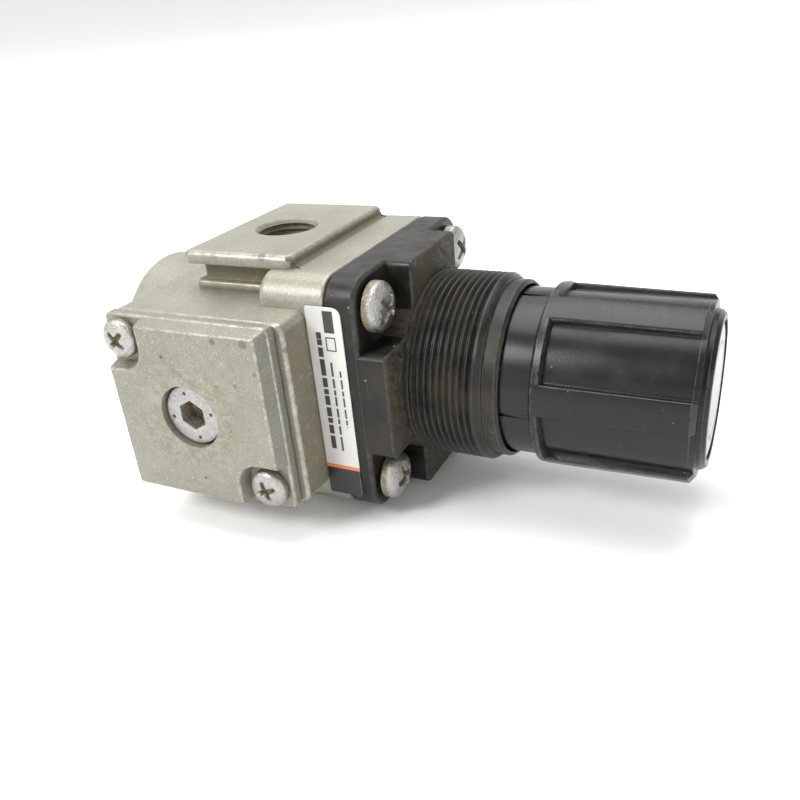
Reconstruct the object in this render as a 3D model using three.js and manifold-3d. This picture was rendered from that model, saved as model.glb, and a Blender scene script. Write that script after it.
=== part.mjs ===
// Air pressure regulator with a square bonnet, a turning lock knob, two threaded ports and two
// plugged gauge openings. Millimetres, +Z up. X runs along the knob, Z through the ports and
// Y through the gauge openings. Every piece is drawn about the point where those lines cross.

import * as THREE from "three";
import { mergeVertices } from "three/addons/utils/BufferGeometryUtils.js";
import Module from "manifold-3d";

const wasm = await Module();
wasm.setup();

// Driving dimensions.
const FACE_TO_FACE = 40; // between the two port faces
const GAP = 0.3; // left between neighbouring pieces
const SQUARE = 36.4; // side of the block and of the bonnet's flange
const SQUARE_CORNER = 4;
const REAR_X = -26.5; // end of the valve barrel
const JOINT_X = 16.3; // where the body meets the bonnet
const KNOB_FRONT_X = 65.2;
const BARREL_R = 14;
const BOSS_HALF_Z = 14;
const BOSS_X = [-16.1, 13.2];
const BOSS_FRONT_Y = 23.85;
const COVER_X = [-16.1, 12];
const COVER_HALF_Z = 14.1;
const COVER_FRONT_Y = 27.9;
const PLUG_X = -2.35; // axis of the gauge openings
const PLUG_R = 4.6;
const COVER_SCREWS = [
  [-13.15, 10.6],
  [8.45, -10.6],
]; // x and z of the two screws of the front cover
const BONNET_SCREW_OFFSET = 13.5; // of each bonnet screw from the knob axis, along Y and Z
const THREAD_R = 14; // crest of the panel thread
const NECK_R = 12.2; // the knob's neck, inside the bonnet's end ring
const GRIP_R = 13.2;
const GROOVE_R = 12; // floor of the knob's grip grooves
const LANDS = 6;
const LAND_DEG = 20;
const FIRST_LAND_DEG = 7.7; // middle of the first land, from -Y towards +Z
const NECK_SLOT_DEG = -6.5; // first of the four slots in the neck, from -Y towards +Z

// Bores inside the body.
const GUIDE_BORE_R = 10.5;
const VALVE_BORE_R = 6.5;
const SEAT_X = -1.5; // face of the seat that the valve closes on
const SEAT_R = 2.6;
const CHAMBER_R = 6;
const RECESS_R = 16; // recess for the diaphragm
const RECESS_X = 14;
const PORT_BORE_R = 4.4;
const PORT_MOUTH_R = 5;
const PORT_DEPTH_Z = 10; // where the port bores end
const GAUGE_BORE_R = 3;
const GAUGE_MOUTH_R = 6.5;
const GAUGE_FLOOR_Y = 20.5;

// Positions inside the bonnet.
const SPRING_BORE_R = 11;
const WEB_X = [32.7, 33.9]; // the wall that holds the adjusting screw's collar
const WEB_HOLE_R = 5;
const NUT_X = [27.4, 29.6];
const KEY_HALF = 1.5; // half the width of the nut's two keys

const ROUND = 36; // sides of a large round
const SCREW_ROUND = 20;
const SMALL_ROUND = 12;
const half = SQUARE / 2;
const portZ = FACE_TO_FACE / 2;

// Solids --------------------------------------------------------------------------------------

// Turns the local axes of a geometry to the part's: "x" sends (x, y, z) to (y, z, x).
const TURNS = {
  x: new THREE.Matrix4().set(0, 0, 1, 0, 1, 0, 0, 0, 0, 1, 0, 0, 0, 0, 0, 1),
  y: new THREE.Matrix4().set(0, 1, 0, 0, 0, 0, 1, 0, 1, 0, 0, 0, 0, 0, 0, 1),
  z: new THREE.Matrix4(),
};

function solidOf(geometry) {
  geometry.deleteAttribute("normal");
  geometry.deleteAttribute("uv");
  const merged = mergeVertices(geometry, 1e-4);
  const all = merged.index.array;
  const kept = [];
  for (let i = 0; i < all.length; i += 3) {
    const [a, b, c] = [all[i], all[i + 1], all[i + 2]];
    if (a !== b && b !== c && c !== a) kept.push(a, b, c);
  }
  return new wasm.Manifold(
    new wasm.Mesh({
      numProp: 3,
      vertProperties: merged.attributes.position.array,
      triVerts: new Uint32Array(kept),
    }),
  );
}

function geometryOf(solid) {
  const { vertProperties, triVerts, numProp, numVert } = solid.getMesh();
  const positions = new Float32Array(numVert * 3);
  for (let i = 0; i < numVert; i += 1) {
    positions.set(vertProperties.subarray(i * numProp, i * numProp + 3), i * 3);
  }
  const geometry = new THREE.BufferGeometry();
  geometry.setAttribute("position", new THREE.BufferAttribute(positions, 3));
  geometry.setIndex(new THREE.BufferAttribute(triVerts, 1));
  geometry.computeVertexNormals();
  return geometry;
}

const join = (first, ...rest) => rest.reduce((whole, piece) => whole.add(piece), first);
const cut = (first, ...rest) => rest.reduce((whole, piece) => whole.subtract(piece), first);

// A solid of revolution about `axis`. The profile holds [place along the axis, radius] pairs,
// from the axis's low end outwards and up, and back to the axis or to its own start.
function turned(axis, profile, segments = ROUND) {
  const points = profile.map(([along, radius]) => new THREE.Vector2(radius, along));
  const geometry = new THREE.LatheGeometry(points, segments);
  // A lathe turns about its own Y, so it is first laid along Z.
  geometry.applyMatrix4(TURNS.y.clone().invert());
  return solidOf(geometry.applyMatrix4(TURNS[axis]));
}

function disc(axis, radius, low, high, segments = ROUND) {
  return turned(axis, [[low, 0], [low, radius], [high, radius], [high, 0]], segments);
}

function tube(axis, inner, outer, low, high, segments = ROUND) {
  const profile = [[low, inner], [low, outer], [high, outer], [high, inner], [low, inner]];
  return turned(axis, profile, segments);
}

// A prism along `axis`: the outline is drawn in (y, z) for x, in (z, x) for y, in (x, y) for z.
function prism(axis, outline, low, high, bevel = 0) {
  const geometry = new THREE.ExtrudeGeometry(outline, {
    depth: high - low - 2 * bevel,
    curveSegments: 3,
    bevelEnabled: bevel > 0,
    bevelThickness: bevel,
    bevelSize: bevel,
    bevelOffset: -bevel,
    bevelSegments: 1,
  });
  geometry.translate(0, 0, low + bevel);
  return solidOf(geometry.applyMatrix4(TURNS[axis]));
}

function box([x0, x1], [y0, y1], [z0, z1]) {
  const geometry = new THREE.BoxGeometry(x1 - x0, y1 - y0, z1 - z0);
  return solidOf(geometry.translate((x0 + x1) / 2, (y0 + y1) / 2, (z0 + z1) / 2));
}

// A rectangle with rounded corners, from (u0, v0) to (u1, v1).
function roundedRectangle(u0, u1, v0, v1, radius) {
  const outline = new THREE.Shape();
  outline.moveTo(u0 + radius, v0);
  outline.lineTo(u1 - radius, v0);
  outline.absarc(u1 - radius, v0 + radius, radius, -Math.PI / 2, 0);
  outline.lineTo(u1, v1 - radius);
  outline.absarc(u1 - radius, v1 - radius, radius, 0, Math.PI / 2);
  outline.lineTo(u0 + radius, v1);
  outline.absarc(u0 + radius, v1 - radius, radius, Math.PI / 2, Math.PI);
  outline.lineTo(u0, v0 + radius);
  outline.absarc(u0 + radius, v0 + radius, radius, Math.PI, 1.5 * Math.PI);
  return outline;
}

function hexagon(acrossFlats) {
  const corner = acrossFlats / Math.sqrt(3);
  const outline = new THREE.Shape();
  for (let i = 0; i < 6; i += 1) {
    const angle = (i * Math.PI) / 3;
    const point = [corner * Math.cos(angle), corner * Math.sin(angle)];
    if (i === 0) outline.moveTo(...point);
    else outline.lineTo(...point);
  }
  outline.closePath();
  return outline;
}

// A drilled passage of round section from one point to another.
function passage(from, to, radius) {
  const start = new THREE.Vector3(...from);
  const run = new THREE.Vector3(...to).sub(start);
  const geometry = new THREE.CylinderGeometry(radius, radius, run.length(), SMALL_ROUND);
  const up = new THREE.Vector3(0, 1, 0);
  geometry.applyQuaternion(
    new THREE.Quaternion().setFromUnitVectors(up, run.clone().normalize()),
  );
  const middle = start.addScaledVector(run, 0.5);
  return solidOf(geometry.translate(middle.x, middle.y, middle.z));
}

// A round wire wound about the knob axis.
class Helix extends THREE.Curve {
  constructor(radius, low, high, turns) {
    super();
    Object.assign(this, { radius, low, high, turns });
  }

  getPoint(t, target = new THREE.Vector3()) {
    const angle = 2 * Math.PI * this.turns * t;
    const x = this.low + (this.high - this.low) * t;
    return target.set(x, this.radius * Math.cos(angle), this.radius * Math.sin(angle));
  }
}

function coil(radius, wire, low, high, turns) {
  const section = new THREE.Shape();
  section.absarc(0, 0, wire, 0, 2 * Math.PI);
  const geometry = new THREE.ExtrudeGeometry(section, {
    steps: Math.round(turns * 12),
    curveSegments: 3,
    extrudePath: new Helix(radius, low + wire, high - wire, turns),
  });
  return solidOf(geometry);
}

// A cross recess cut `depth` deep into a screw head whose crown is at `top`, along X.
function crossRecess(top, depth, reach, width) {
  const along = [top - depth, top + 1];
  return join(
    box(along, [-reach, reach], [-width / 2, width / 2]),
    box(along, [-width / 2, width / 2], [-reach, reach]),
  );
}

// Materials -----------------------------------------------------------------------------------

function material(color, roughness, metalness) {
  return new THREE.MeshStandardMaterial({ color, roughness, metalness });
}

const MATERIALS = {
  paint: () => material(0xc9c4b8, 0.45, 0.2),
  blackPlastic: () => material(0x2e2e2d, 0.5, 0),
  zinc: () => material(0xb9b6ad, 0.35, 1),
  steel: () => material(0x9a9a98, 0.4, 1),
  brass: () => material(0xb08d4f, 0.35, 1),
  rubber: () => material(0x1c1c1c, 0.8, 0),
  print: () => material(0xd9d6cf, 0.4, 0),
};

function piece(name, solid, finish) {
  const mesh = new THREE.Mesh(geometryOf(solid), MATERIALS[finish]());
  mesh.name = name;
  return mesh;
}

// Body ----------------------------------------------------------------------------------------

const FLANGE_X = 9.5;
const FLANGE_Y = 14.35;
const FLANGE_BAND = 2; // height of the flange's straight edge
const FLANGE_BEVEL = 0.6;
const NECK_BOX_X = [-7.9, 9.3];
const NECK_BOX_Y = 12.4;
const LEDGE_Z = 15.2;
const BLOCK_X = [5.6, JOINT_X - GAP / 2];
const BONNET_SCREW_HOLE_R = 1.7;
const COVER_SCREW_HOLE_R = 1.4;

function portFlange() {
  const outline = roundedRectangle(-FLANGE_X, FLANGE_X, -FLANGE_Y, FLANGE_Y, 0.9);
  const low = portZ - FLANGE_BAND;
  return join(
    prism("z", outline, low, portZ - FLANGE_BEVEL, 0),
    prism("z", outline, low + 0.2, portZ, FLANGE_BEVEL),
  );
}

function portBore() {
  const profile = [
    [PORT_DEPTH_Z, 0],
    [PORT_DEPTH_Z, PORT_BORE_R],
    [portZ - 0.6, PORT_BORE_R],
    [portZ, PORT_MOUTH_R],
    [portZ + 1, PORT_MOUTH_R],
    [portZ + 1, 0],
  ];
  return turned("z", profile, 32);
}

function valveBores() {
  return turned("x", [
    [REAR_X - 1, 0],
    [REAR_X - 1, GUIDE_BORE_R],
    [-17, GUIDE_BORE_R],
    [-17, VALVE_BORE_R],
    [SEAT_X, VALVE_BORE_R],
    [SEAT_X, SEAT_R],
    [SEAT_X + 2, SEAT_R],
    [SEAT_X + 2, CHAMBER_R],
    [RECESS_X, CHAMBER_R],
    [RECESS_X, RECESS_R],
    [JOINT_X + 1, RECESS_R],
    [JOINT_X + 1, 0],
  ]);
}

// The openings of one gauge side, on -Y: a counterbore, a bore and a slanted passage.
function gaugeOpening() {
  const opening = join(
    disc("y", GAUGE_MOUTH_R, -BOSS_FRONT_Y - 1, -GAUGE_FLOOR_Y),
    disc("y", GAUGE_BORE_R, -GAUGE_FLOOR_Y - 0.1, -PORT_DEPTH_Z, SMALL_ROUND),
  ).translate([PLUG_X, 0, 0]);
  const holes = COVER_SCREWS.map(([x, z]) =>
    disc("y", COVER_SCREW_HOLE_R, -BOSS_FRONT_Y - 1, -17, SMALL_ROUND).translate([x, 0, z]),
  );
  return join(opening, passage([PLUG_X, -11, 0], [3.4, -4, 0], 1.2), ...holes);
}

function bonnetScrewCentres() {
  const signs = [[-1, 1], [-1, -1], [1, -1], [1, 1]];
  return signs.map((pair) => pair.map((sign) => sign * BONNET_SCREW_OFFSET));
}

function body() {
  const barrel = turned("x", [
    [REAR_X, 0],
    [REAR_X, BARREL_R - 0.8],
    [REAR_X + 0.8, BARREL_R],
    [-14, BARREL_R],
    [-14, 0],
  ]);
  const neck = roundedRectangle(...NECK_BOX_X, -NECK_BOX_Y, NECK_BOX_Y, 1);
  const ledge = roundedRectangle(-9, 9.3, -13.5, 13.5, 1);
  const blockOutline = roundedRectangle(-half, half, -half, half, SQUARE_CORNER);
  const boss = roundedRectangle(-BOSS_HALF_Z, BOSS_HALF_Z, ...BOSS_X, 1.2);
  const whole = join(
    barrel,
    portFlange(),
    portFlange().rotate([180, 0, 0]),
    prism("z", neck, -portZ + 1, portZ - 1),
    prism("z", ledge, -LEDGE_Z, LEDGE_Z),
    prism("x", blockOutline, BLOCK_X[0], BLOCK_X[1] - 1, 0.6),
    prism("x", blockOutline, BLOCK_X[0] + 1, BLOCK_X[1]),
    prism("y", boss, -BOSS_FRONT_Y, BOSS_FRONT_Y),
  );
  const bonnetScrewHoles = bonnetScrewCentres().map(([y, z]) =>
    disc("x", BONNET_SCREW_HOLE_R, 8, JOINT_X + 1, SMALL_ROUND).translate([0, y, z]),
  );
  return cut(
    whole,
    valveBores(),
    portBore(),
    portBore().rotate([180, 0, 0]),
    passage([0, 0, PORT_DEPTH_Z + 1], [4.6, 0, 4.5], 1.7),
    passage([0, 0, -PORT_DEPTH_Z - 1], [-5.5, 0, -5], 1.7),
    gaugeOpening(),
    gaugeOpening().rotate([180, 0, 0]),
    ...bonnetScrewHoles,
  );
}

// The valve barrel's closing plug -------------------------------------------------------------

const GUIDE_X = [-26.2, -17.3];
const ORING_X = -20.3;
const ORING_WIRE = 0.55;
const TAIL_R = 2;

function valveGuide() {
  const r = GUIDE_BORE_R - GAP;
  const groove = ORING_WIRE + GAP + 0.05;
  const floor = r - 1.4;
  const profile = [
    [GUIDE_X[0], 0],
    [GUIDE_X[0], r - 0.5],
    [GUIDE_X[0] + 0.5, r],
    [ORING_X - groove, r],
    [ORING_X - groove, floor],
    [ORING_X + groove, floor],
    [ORING_X + groove, r],
    [GUIDE_X[1], r],
    [GUIDE_X[1], TAIL_R + GAP],
    [-20, TAIL_R + GAP],
    [-20, 0],
  ];
  const slot = box([GUIDE_X[0] - 1, GUIDE_X[0] + 1.2], [-7, 7], [-0.8, 0.8]);
  return cut(turned("x", profile), slot);
}

function valveGuideRing() {
  const r = GUIDE_BORE_R - GAP - ORING_WIRE;
  const profile = [];
  for (let i = 0; i <= 6; i += 1) {
    const angle = (-i * Math.PI) / 3;
    profile.push([ORING_X - ORING_WIRE * Math.cos(angle), r - ORING_WIRE * Math.sin(angle)]);
  }
  return turned("x", profile, 28);
}

// Gauge side: cover, plug, seal and two screws, drawn on -Y -------------------------------------

const COVER_BACK_Y = BOSS_FRONT_Y + GAP;
const NOTCH_FLOOR_Y = 25.7;
const NOTCH_R = 3.5;
const PLUG_FACE_Y = 27.2;

function gaugeCover() {
  const outline = roundedRectangle(-COVER_HALF_Z, COVER_HALF_Z, ...COVER_X, 0.9);
  const bevel = 0.7;
  const plate = join(
    prism("y", outline, -COVER_FRONT_Y + bevel, -COVER_BACK_Y),
    prism("y", outline, -COVER_FRONT_Y, -COVER_BACK_Y - 0.4, bevel),
  );
  const notches = COVER_SCREWS.map(([x, z]) => {
    const outY = [-COVER_FRONT_Y - 1, -NOTCH_FLOOR_Y];
    const outX = [Math.min(x, 20 * Math.sign(x)), Math.max(x, 20 * Math.sign(x))];
    const outZ = [Math.min(z, 20 * Math.sign(z)), Math.max(z, 20 * Math.sign(z))];
    return join(
      disc("y", NOTCH_R, ...outY, 24).translate([x, 0, z]),
      box(outX, outY, [z - NOTCH_R, z + NOTCH_R]),
      box([x - NOTCH_R, x + NOTCH_R], outY, outZ),
      box(outX, outY, outZ),
      disc("y", COVER_SCREW_HOLE_R, -NOTCH_FLOOR_Y - 1, -20, SMALL_ROUND).translate([x, 0, z]),
    );
  });
  const plugHole = disc("y", PLUG_R + GAP, -COVER_FRONT_Y - 1, -20, 36);
  return cut(plate, plugHole.translate([PLUG_X, 0, 0]), ...notches);
}

function gaugePlug() {
  const profile = [
    [-PLUG_FACE_Y, 0],
    [-PLUG_FACE_Y, PLUG_R - 0.3],
    [-PLUG_FACE_Y + 0.3, PLUG_R],
    [-GAUGE_FLOOR_Y - 1.4, PLUG_R],
    [-GAUGE_FLOOR_Y - 1.4, GAUGE_BORE_R - GAP],
    [-13, GAUGE_BORE_R - GAP],
    [-13, 0],
  ];
  const socket = prism("y", hexagon(4), -PLUG_FACE_Y - 1, -PLUG_FACE_Y + 3);
  return cut(turned("y", profile, 36), socket).translate([PLUG_X, 0, 0]);
}

function gaugeSeal() {
  const low = -GAUGE_FLOOR_Y - 1.1;
  const ring = tube("y", GAUGE_BORE_R, PLUG_R - 0.2, low, -GAUGE_FLOOR_Y - GAP, SCREW_ROUND);
  return ring.translate([PLUG_X, 0, 0]);
}

// A pan-head screw along X: the shank runs from `tip` to `base`, the head from there to `crown`.
function panScrew(tip, base, crown, shankR, headR, recess) {
  const rise = crown - base;
  const profile = [
    [tip, 0],
    [tip, shankR - 0.3],
    [tip + 0.4, shankR],
    [base, shankR],
    [base, headR],
    [base + 0.4 * rise, headR],
    [base + 0.72 * rise, 0.86 * headR],
    [base + 0.93 * rise, 0.55 * headR],
    [crown, 0],
  ];
  const cross = crossRecess(crown, recess, 0.52 * headR, 0.24 * headR);
  return cut(turned("x", profile, SCREW_ROUND), cross);
}

function coverScrew() {
  return panScrew(17.6, 26, 27.7, COVER_SCREW_HOLE_R - GAP, 2.9, 1.1);
}

function gaugeSide(suffix) {
  const side = new THREE.Group();
  side.add(
    piece(`gauge_cover_${suffix}`, gaugeCover(), "paint"),
    piece(`gauge_plug_${suffix}`, gaugePlug(), "steel"),
    piece(`gauge_seal_${suffix}`, gaugeSeal(), "rubber"),
  );
  COVER_SCREWS.forEach(([x, z], i) => {
    const screw = piece(`cover_screw_${suffix}_${i + 1}`, coverScrew(), "zinc");
    screw.rotation.z = -Math.PI / 2;
    screw.position.set(x, 0, z);
    side.add(screw);
  });
  return side;
}

// Bonnet --------------------------------------------------------------------------------------

const BONNET_BACK_X = JOINT_X + GAP / 2;
const POCKET_X = 20.9; // floor of the four corner pockets
const RAISED_X = 24.9; // face of the raised cross
const RAISED_HALF = 8;
const BONNET_END_X = 38.5;

function bonnet() {
  const square = roundedRectangle(-half, half, -half, half, SQUARE_CORNER);
  const upright = roundedRectangle(-RAISED_HALF, RAISED_HALF, -half, half, 0.8);
  const level = roundedRectangle(-half, half, -RAISED_HALF, RAISED_HALF, 0.8);
  const tower = turned("x", [
    [POCKET_X - 1, 0],
    [POCKET_X - 1, THREAD_R],
    [35.4, THREAD_R],
    [36.3, THREAD_R - 0.6],
    [36.31, THREAD_R - 0.85],
    [38.1, THREAD_R - 0.85],
    [BONNET_END_X, THREAD_R - 1.15],
    [BONNET_END_X, 0],
  ]);
  const inside = turned("x", [
    [BONNET_BACK_X - 1, 0],
    [BONNET_BACK_X - 1, SPRING_BORE_R],
    [WEB_X[0], SPRING_BORE_R],
    [WEB_X[0], WEB_HOLE_R],
    [WEB_X[1], WEB_HOLE_R],
    [WEB_X[1], NECK_R + GAP],
    [BONNET_END_X + 1, NECK_R + GAP],
    [BONNET_END_X + 1, 0],
  ]);
  const keyway = SPRING_BORE_R + 1.3;
  const screwHoles = bonnetScrewCentres().map(([y, z]) =>
    disc("x", BONNET_SCREW_HOLE_R, 15, POCKET_X + 1, SMALL_ROUND).translate([0, y, z]),
  );
  return cut(
    join(
      prism("x", square, BONNET_BACK_X, POCKET_X),
      prism("x", upright, POCKET_X - 2, RAISED_X, 0.5),
      prism("x", level, POCKET_X - 2, RAISED_X, 0.5),
      tower,
    ),
    inside,
    box([15, WEB_X[0]], [-keyway, keyway], [-KEY_HALF - GAP, KEY_HALF + GAP]),
    ...screwHoles,
  );
}

function bonnetScrew() {
  return panScrew(8.5, POCKET_X + GAP, 23.5, BONNET_SCREW_HOLE_R - GAP, 3.6, 1.4);
}

// The printed plate on the front of the joint between body and bonnet.
function label() {
  return box([BOSS_X[1] + 0.2, 18.9], [-half - 0.25, -half - 0.05], [-15.2, 14.75]);
}

function thrustWasher() {
  return tube("x", 3.6, 6, 31.3, WEB_X[0] - GAP, 32);
}

// Diaphragm, valve and springs ----------------------------------------------------------------

const DIAPHRAGM_X = [15.35, 15.95];
const PLATE_X = [16.25, 17.75];
const STEM_R = 1.2;
const STEM_TOP_X = 13.7;
const POPPET_X = [-5.5, -3.3];

function diaphragm() {
  return tube("x", 2.3, RECESS_R - 0.5, ...DIAPHRAGM_X);
}

function diaphragmPlate() {
  return turned("x", [
    [PLATE_X[0], 2.3],
    [PLATE_X[0], 10],
    [PLATE_X[1] - 0.4, 10],
    [PLATE_X[1], 9.6],
    [PLATE_X[1], 2.3],
    [PLATE_X[0], 2.3],
  ]);
}

function reliefSeat() {
  return turned("x", [
    [14.05, 0.9],
    [14.05, 3.5],
    [15.05, 3.5],
    [15.05, 2],
    [16.9, 2],
    [16.9, 0.9],
    [14.05, 0.9],
  ], SCREW_ROUND);
}

function valve() {
  return turned("x", [
    [-17.6, 0],
    [-17.6, TAIL_R],
    [POPPET_X[0], TAIL_R],
    [POPPET_X[0], 4.4],
    [POPPET_X[1], 4.4],
    [POPPET_X[1], STEM_R],
    [STEM_TOP_X - 0.5, STEM_R],
    [STEM_TOP_X, 0.7],
    [STEM_TOP_X, 0],
  ], SCREW_ROUND);
}

function valveSeatDisc() {
  return tube("x", STEM_R + GAP, 4, POPPET_X[1] + GAP, SEAT_X - GAP, SCREW_ROUND);
}

// Adjusting screw, nut and knob ---------------------------------------------------------------

const HEX = 7; // across the flats of the screw's upper shaft
const SHAFT_END_X = 58;
const SLEEVE_X = 37; // inner end of the knob's neck
const KNOB_BORE_R = 10.7;
const POCKET_R = 5.6; // round the head of the screw that holds the knob
const DISC_X = [64.2, 65];
const DISC_R = 9.3;

function adjustingNut() {
  const keys = box(NUT_X, [-SPRING_BORE_R - 1, SPRING_BORE_R + 1], [-KEY_HALF, KEY_HALF]);
  return cut(
    join(disc("x", SPRING_BORE_R - 0.4, ...NUT_X), keys),
    disc("x", 3 + GAP, NUT_X[0] - 1, NUT_X[1] + 1, 28),
  );
}

function adjustingScrew() {
  const lower = turned("x", [
    [22.2, 0],
    [22.2, 2.6],
    [22.6, 3],
    [29.9, 3],
    [29.9, 5.5],
    [31, 5.5],
    [31, 3.2],
    [34, 3.2],
    [34, 0],
  ], SCREW_ROUND);
  const shaft = prism("x", hexagon(HEX), 33, SHAFT_END_X);
  return cut(join(lower, shaft), disc("x", 1.7, 50, SHAFT_END_X + 1, SMALL_ROUND));
}

function retainingScrew() {
  return panScrew(51, SHAFT_END_X + GAP, SHAFT_END_X + 2.2, 1.4, 4.6, 1.1);
}

// One grip groove: a ring sector outside the groove floor, open at the front of the knob.
function gripGroove(middleDeg) {
  const from = THREE.MathUtils.degToRad(middleDeg - (360 / LANDS - LAND_DEG) / 2);
  const to = THREE.MathUtils.degToRad(middleDeg + (360 / LANDS - LAND_DEG) / 2);
  const outline = new THREE.Shape();
  outline.absarc(0, 0, GRIP_R + 1, from, to);
  outline.absarc(0, 0, GROOVE_R, to, from, true);
  outline.closePath();
  return prism("x", outline, 44.3, KNOB_FRONT_X + 1);
}

function knob() {
  const shell = turned("x", [
    [SLEEVE_X, KNOB_BORE_R],
    [SLEEVE_X, NECK_R],
    [42.6, NECK_R],
    [42.75, 12.6],
    [43.1, GRIP_R],
    [63.3, GRIP_R - 0.25],
    [63.95, GROOVE_R],
    [64, GROOVE_R - 1],
    [64.6, GROOVE_R - 1.1],
    [KNOB_FRONT_X, GROOVE_R - 1.5],
    [KNOB_FRONT_X, DISC_R + GAP],
    [DISC_X[0] - GAP, DISC_R + GAP],
    [DISC_X[0] - GAP, POCKET_R],
    [57.7, POCKET_R],
    [57.7, 0],
    [44, 0],
    [44, POCKET_R + 1],
    [61, POCKET_R + 1],
    [61, KNOB_BORE_R],
    [SLEEVE_X, KNOB_BORE_R],
  ], 54);
  // Angles run from -Y towards +Z, and the outline's first axis is +Y, so each is turned round.
  const grooves = [];
  for (let i = 0; i < LANDS; i += 1) {
    grooves.push(gripGroove(180 - FIRST_LAND_DEG - ((i + 0.5) * 360) / LANDS));
  }
  const slots = [0, 90, 180, 270].map((turn) =>
    box([SLEEVE_X - 1, 42.4], [-NECK_R - 1, -NECK_R + 0.5], [-0.25, 0.25]).rotate([
      -NECK_SLOT_DEG + turn,
      0,
      0,
    ]),
  );
  return cut(shell, prism("x", hexagon(HEX + 0.7), 43, 59), ...grooves, ...slots);
}

function knobEndDisc() {
  return disc("x", DISC_R, ...DISC_X, 40);
}

// Assembly ------------------------------------------------------------------------------------

const regulator = new THREE.Group();
regulator.add(
  piece("body", body(), "paint"),
  piece("valve_guide", valveGuide(), "brass"),
  piece("valve_guide_ring", valveGuideRing(), "rubber"),
  piece("bonnet", bonnet(), "blackPlastic"),
  piece("label", label(), "print"),
  piece("thrust_washer", thrustWasher(), "steel"),
  piece("diaphragm", diaphragm(), "rubber"),
  piece("diaphragm_plate", diaphragmPlate(), "steel"),
  piece("relief_seat", reliefSeat(), "brass"),
  piece("valve", valve(), "brass"),
  piece("valve_seat_disc", valveSeatDisc(), "rubber"),
  piece("valve_spring", coil(3.6, 0.4, GUIDE_X[1] + GAP, POPPET_X[0] - GAP, 6), "steel"),
  piece("adjusting_spring", coil(7.5, 0.7, PLATE_X[1] + GAP, NUT_X[0] - GAP, 2.5), "steel"),
  piece("adjusting_nut", adjustingNut(), "brass"),
  piece("adjusting_screw", adjustingScrew(), "steel"),
  piece("knob_retaining_screw", retainingScrew(), "zinc"),
  piece("knob", knob(), "blackPlastic"),
  piece("knob_end_disc", knobEndDisc(), "print"),
);

bonnetScrewCentres().forEach(([y, z], i) => {
  const screw = piece(`bonnet_screw_${i + 1}`, bonnetScrew(), "zinc");
  screw.position.set(0, y, z);
  regulator.add(screw);
});

const front = gaugeSide("front");
const rear = gaugeSide("rear");
rear.rotation.x = Math.PI;
regulator.add(front, rear);

// The part's own frame: the middle of the whole length in X and Y, and the lower port face in Z.
regulator.position.set(-(REAR_X + KNOB_FRONT_X) / 2, 0, portZ);

export default regulator;
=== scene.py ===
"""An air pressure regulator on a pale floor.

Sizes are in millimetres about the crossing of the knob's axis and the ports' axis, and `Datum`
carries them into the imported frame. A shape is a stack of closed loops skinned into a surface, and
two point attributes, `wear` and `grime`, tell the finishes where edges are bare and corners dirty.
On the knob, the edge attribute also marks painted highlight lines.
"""

import logging
import math
from dataclasses import dataclass, field
from enum import Enum
from typing import Sequence, Union

import bpy
import numpy as np
from mathutils import Matrix, Vector


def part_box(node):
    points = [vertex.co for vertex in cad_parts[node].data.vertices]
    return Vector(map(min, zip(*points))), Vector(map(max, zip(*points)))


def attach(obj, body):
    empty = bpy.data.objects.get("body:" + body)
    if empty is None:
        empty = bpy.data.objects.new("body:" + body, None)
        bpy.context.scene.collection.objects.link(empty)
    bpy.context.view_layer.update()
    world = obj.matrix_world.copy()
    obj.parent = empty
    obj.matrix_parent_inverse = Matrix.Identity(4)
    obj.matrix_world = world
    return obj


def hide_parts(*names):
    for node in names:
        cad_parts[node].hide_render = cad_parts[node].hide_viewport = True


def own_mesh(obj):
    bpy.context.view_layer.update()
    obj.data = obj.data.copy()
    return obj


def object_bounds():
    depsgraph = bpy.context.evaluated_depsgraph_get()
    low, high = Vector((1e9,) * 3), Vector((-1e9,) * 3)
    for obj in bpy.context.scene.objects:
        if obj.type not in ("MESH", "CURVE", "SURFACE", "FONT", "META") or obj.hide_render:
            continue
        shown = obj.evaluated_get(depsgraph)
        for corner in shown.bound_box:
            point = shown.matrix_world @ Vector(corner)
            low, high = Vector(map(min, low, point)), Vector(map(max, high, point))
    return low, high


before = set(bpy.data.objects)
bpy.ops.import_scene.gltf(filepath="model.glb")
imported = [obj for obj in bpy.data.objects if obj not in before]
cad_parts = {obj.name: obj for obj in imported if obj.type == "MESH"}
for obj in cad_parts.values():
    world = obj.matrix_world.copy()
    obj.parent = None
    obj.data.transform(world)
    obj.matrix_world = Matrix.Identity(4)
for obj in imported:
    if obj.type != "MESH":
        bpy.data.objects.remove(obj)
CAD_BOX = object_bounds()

log = logging.getLogger("regulator")

Pair = tuple[float, float]
Triple = tuple[float, float, float]
Colour = tuple[float, float, float]

MM_IN_M = 1000.0


# Frame -----------------------------------------------------------------------------------------


@dataclass(frozen=True)
class Datum:
    """The place of the axes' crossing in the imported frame, in metres."""

    origin: np.ndarray

    @classmethod
    def from_frame(cls, rear_x: float) -> "Datum":
        """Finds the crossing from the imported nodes.

        Args:
            rear_x: the valve barrel's end, in millimetres from the crossing.

        Returns:
            The datum that every piece is placed with.
        """
        body_low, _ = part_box("body")
        knob_low, knob_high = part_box("knob")
        middle = (knob_low + knob_high) / 2
        return cls(np.array([body_low.x - rear_x / MM_IN_M, middle.y, middle.z]))

    def place(self, points: np.ndarray) -> np.ndarray:
        """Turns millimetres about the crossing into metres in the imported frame."""
        return points / MM_IN_M + self.origin


# The valve barrel's end, in millimetres from the crossing.
REAR_X = -26.5
DATUM = Datum.from_frame(REAR_X)


class Axis(Enum):
    """The axis that a stack of loops runs along, with the two axes of its loops."""

    X = (0, 1, 2)
    Y = (1, 2, 0)
    Z = (2, 0, 1)


# Surfaces --------------------------------------------------------------------------------------


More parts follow.
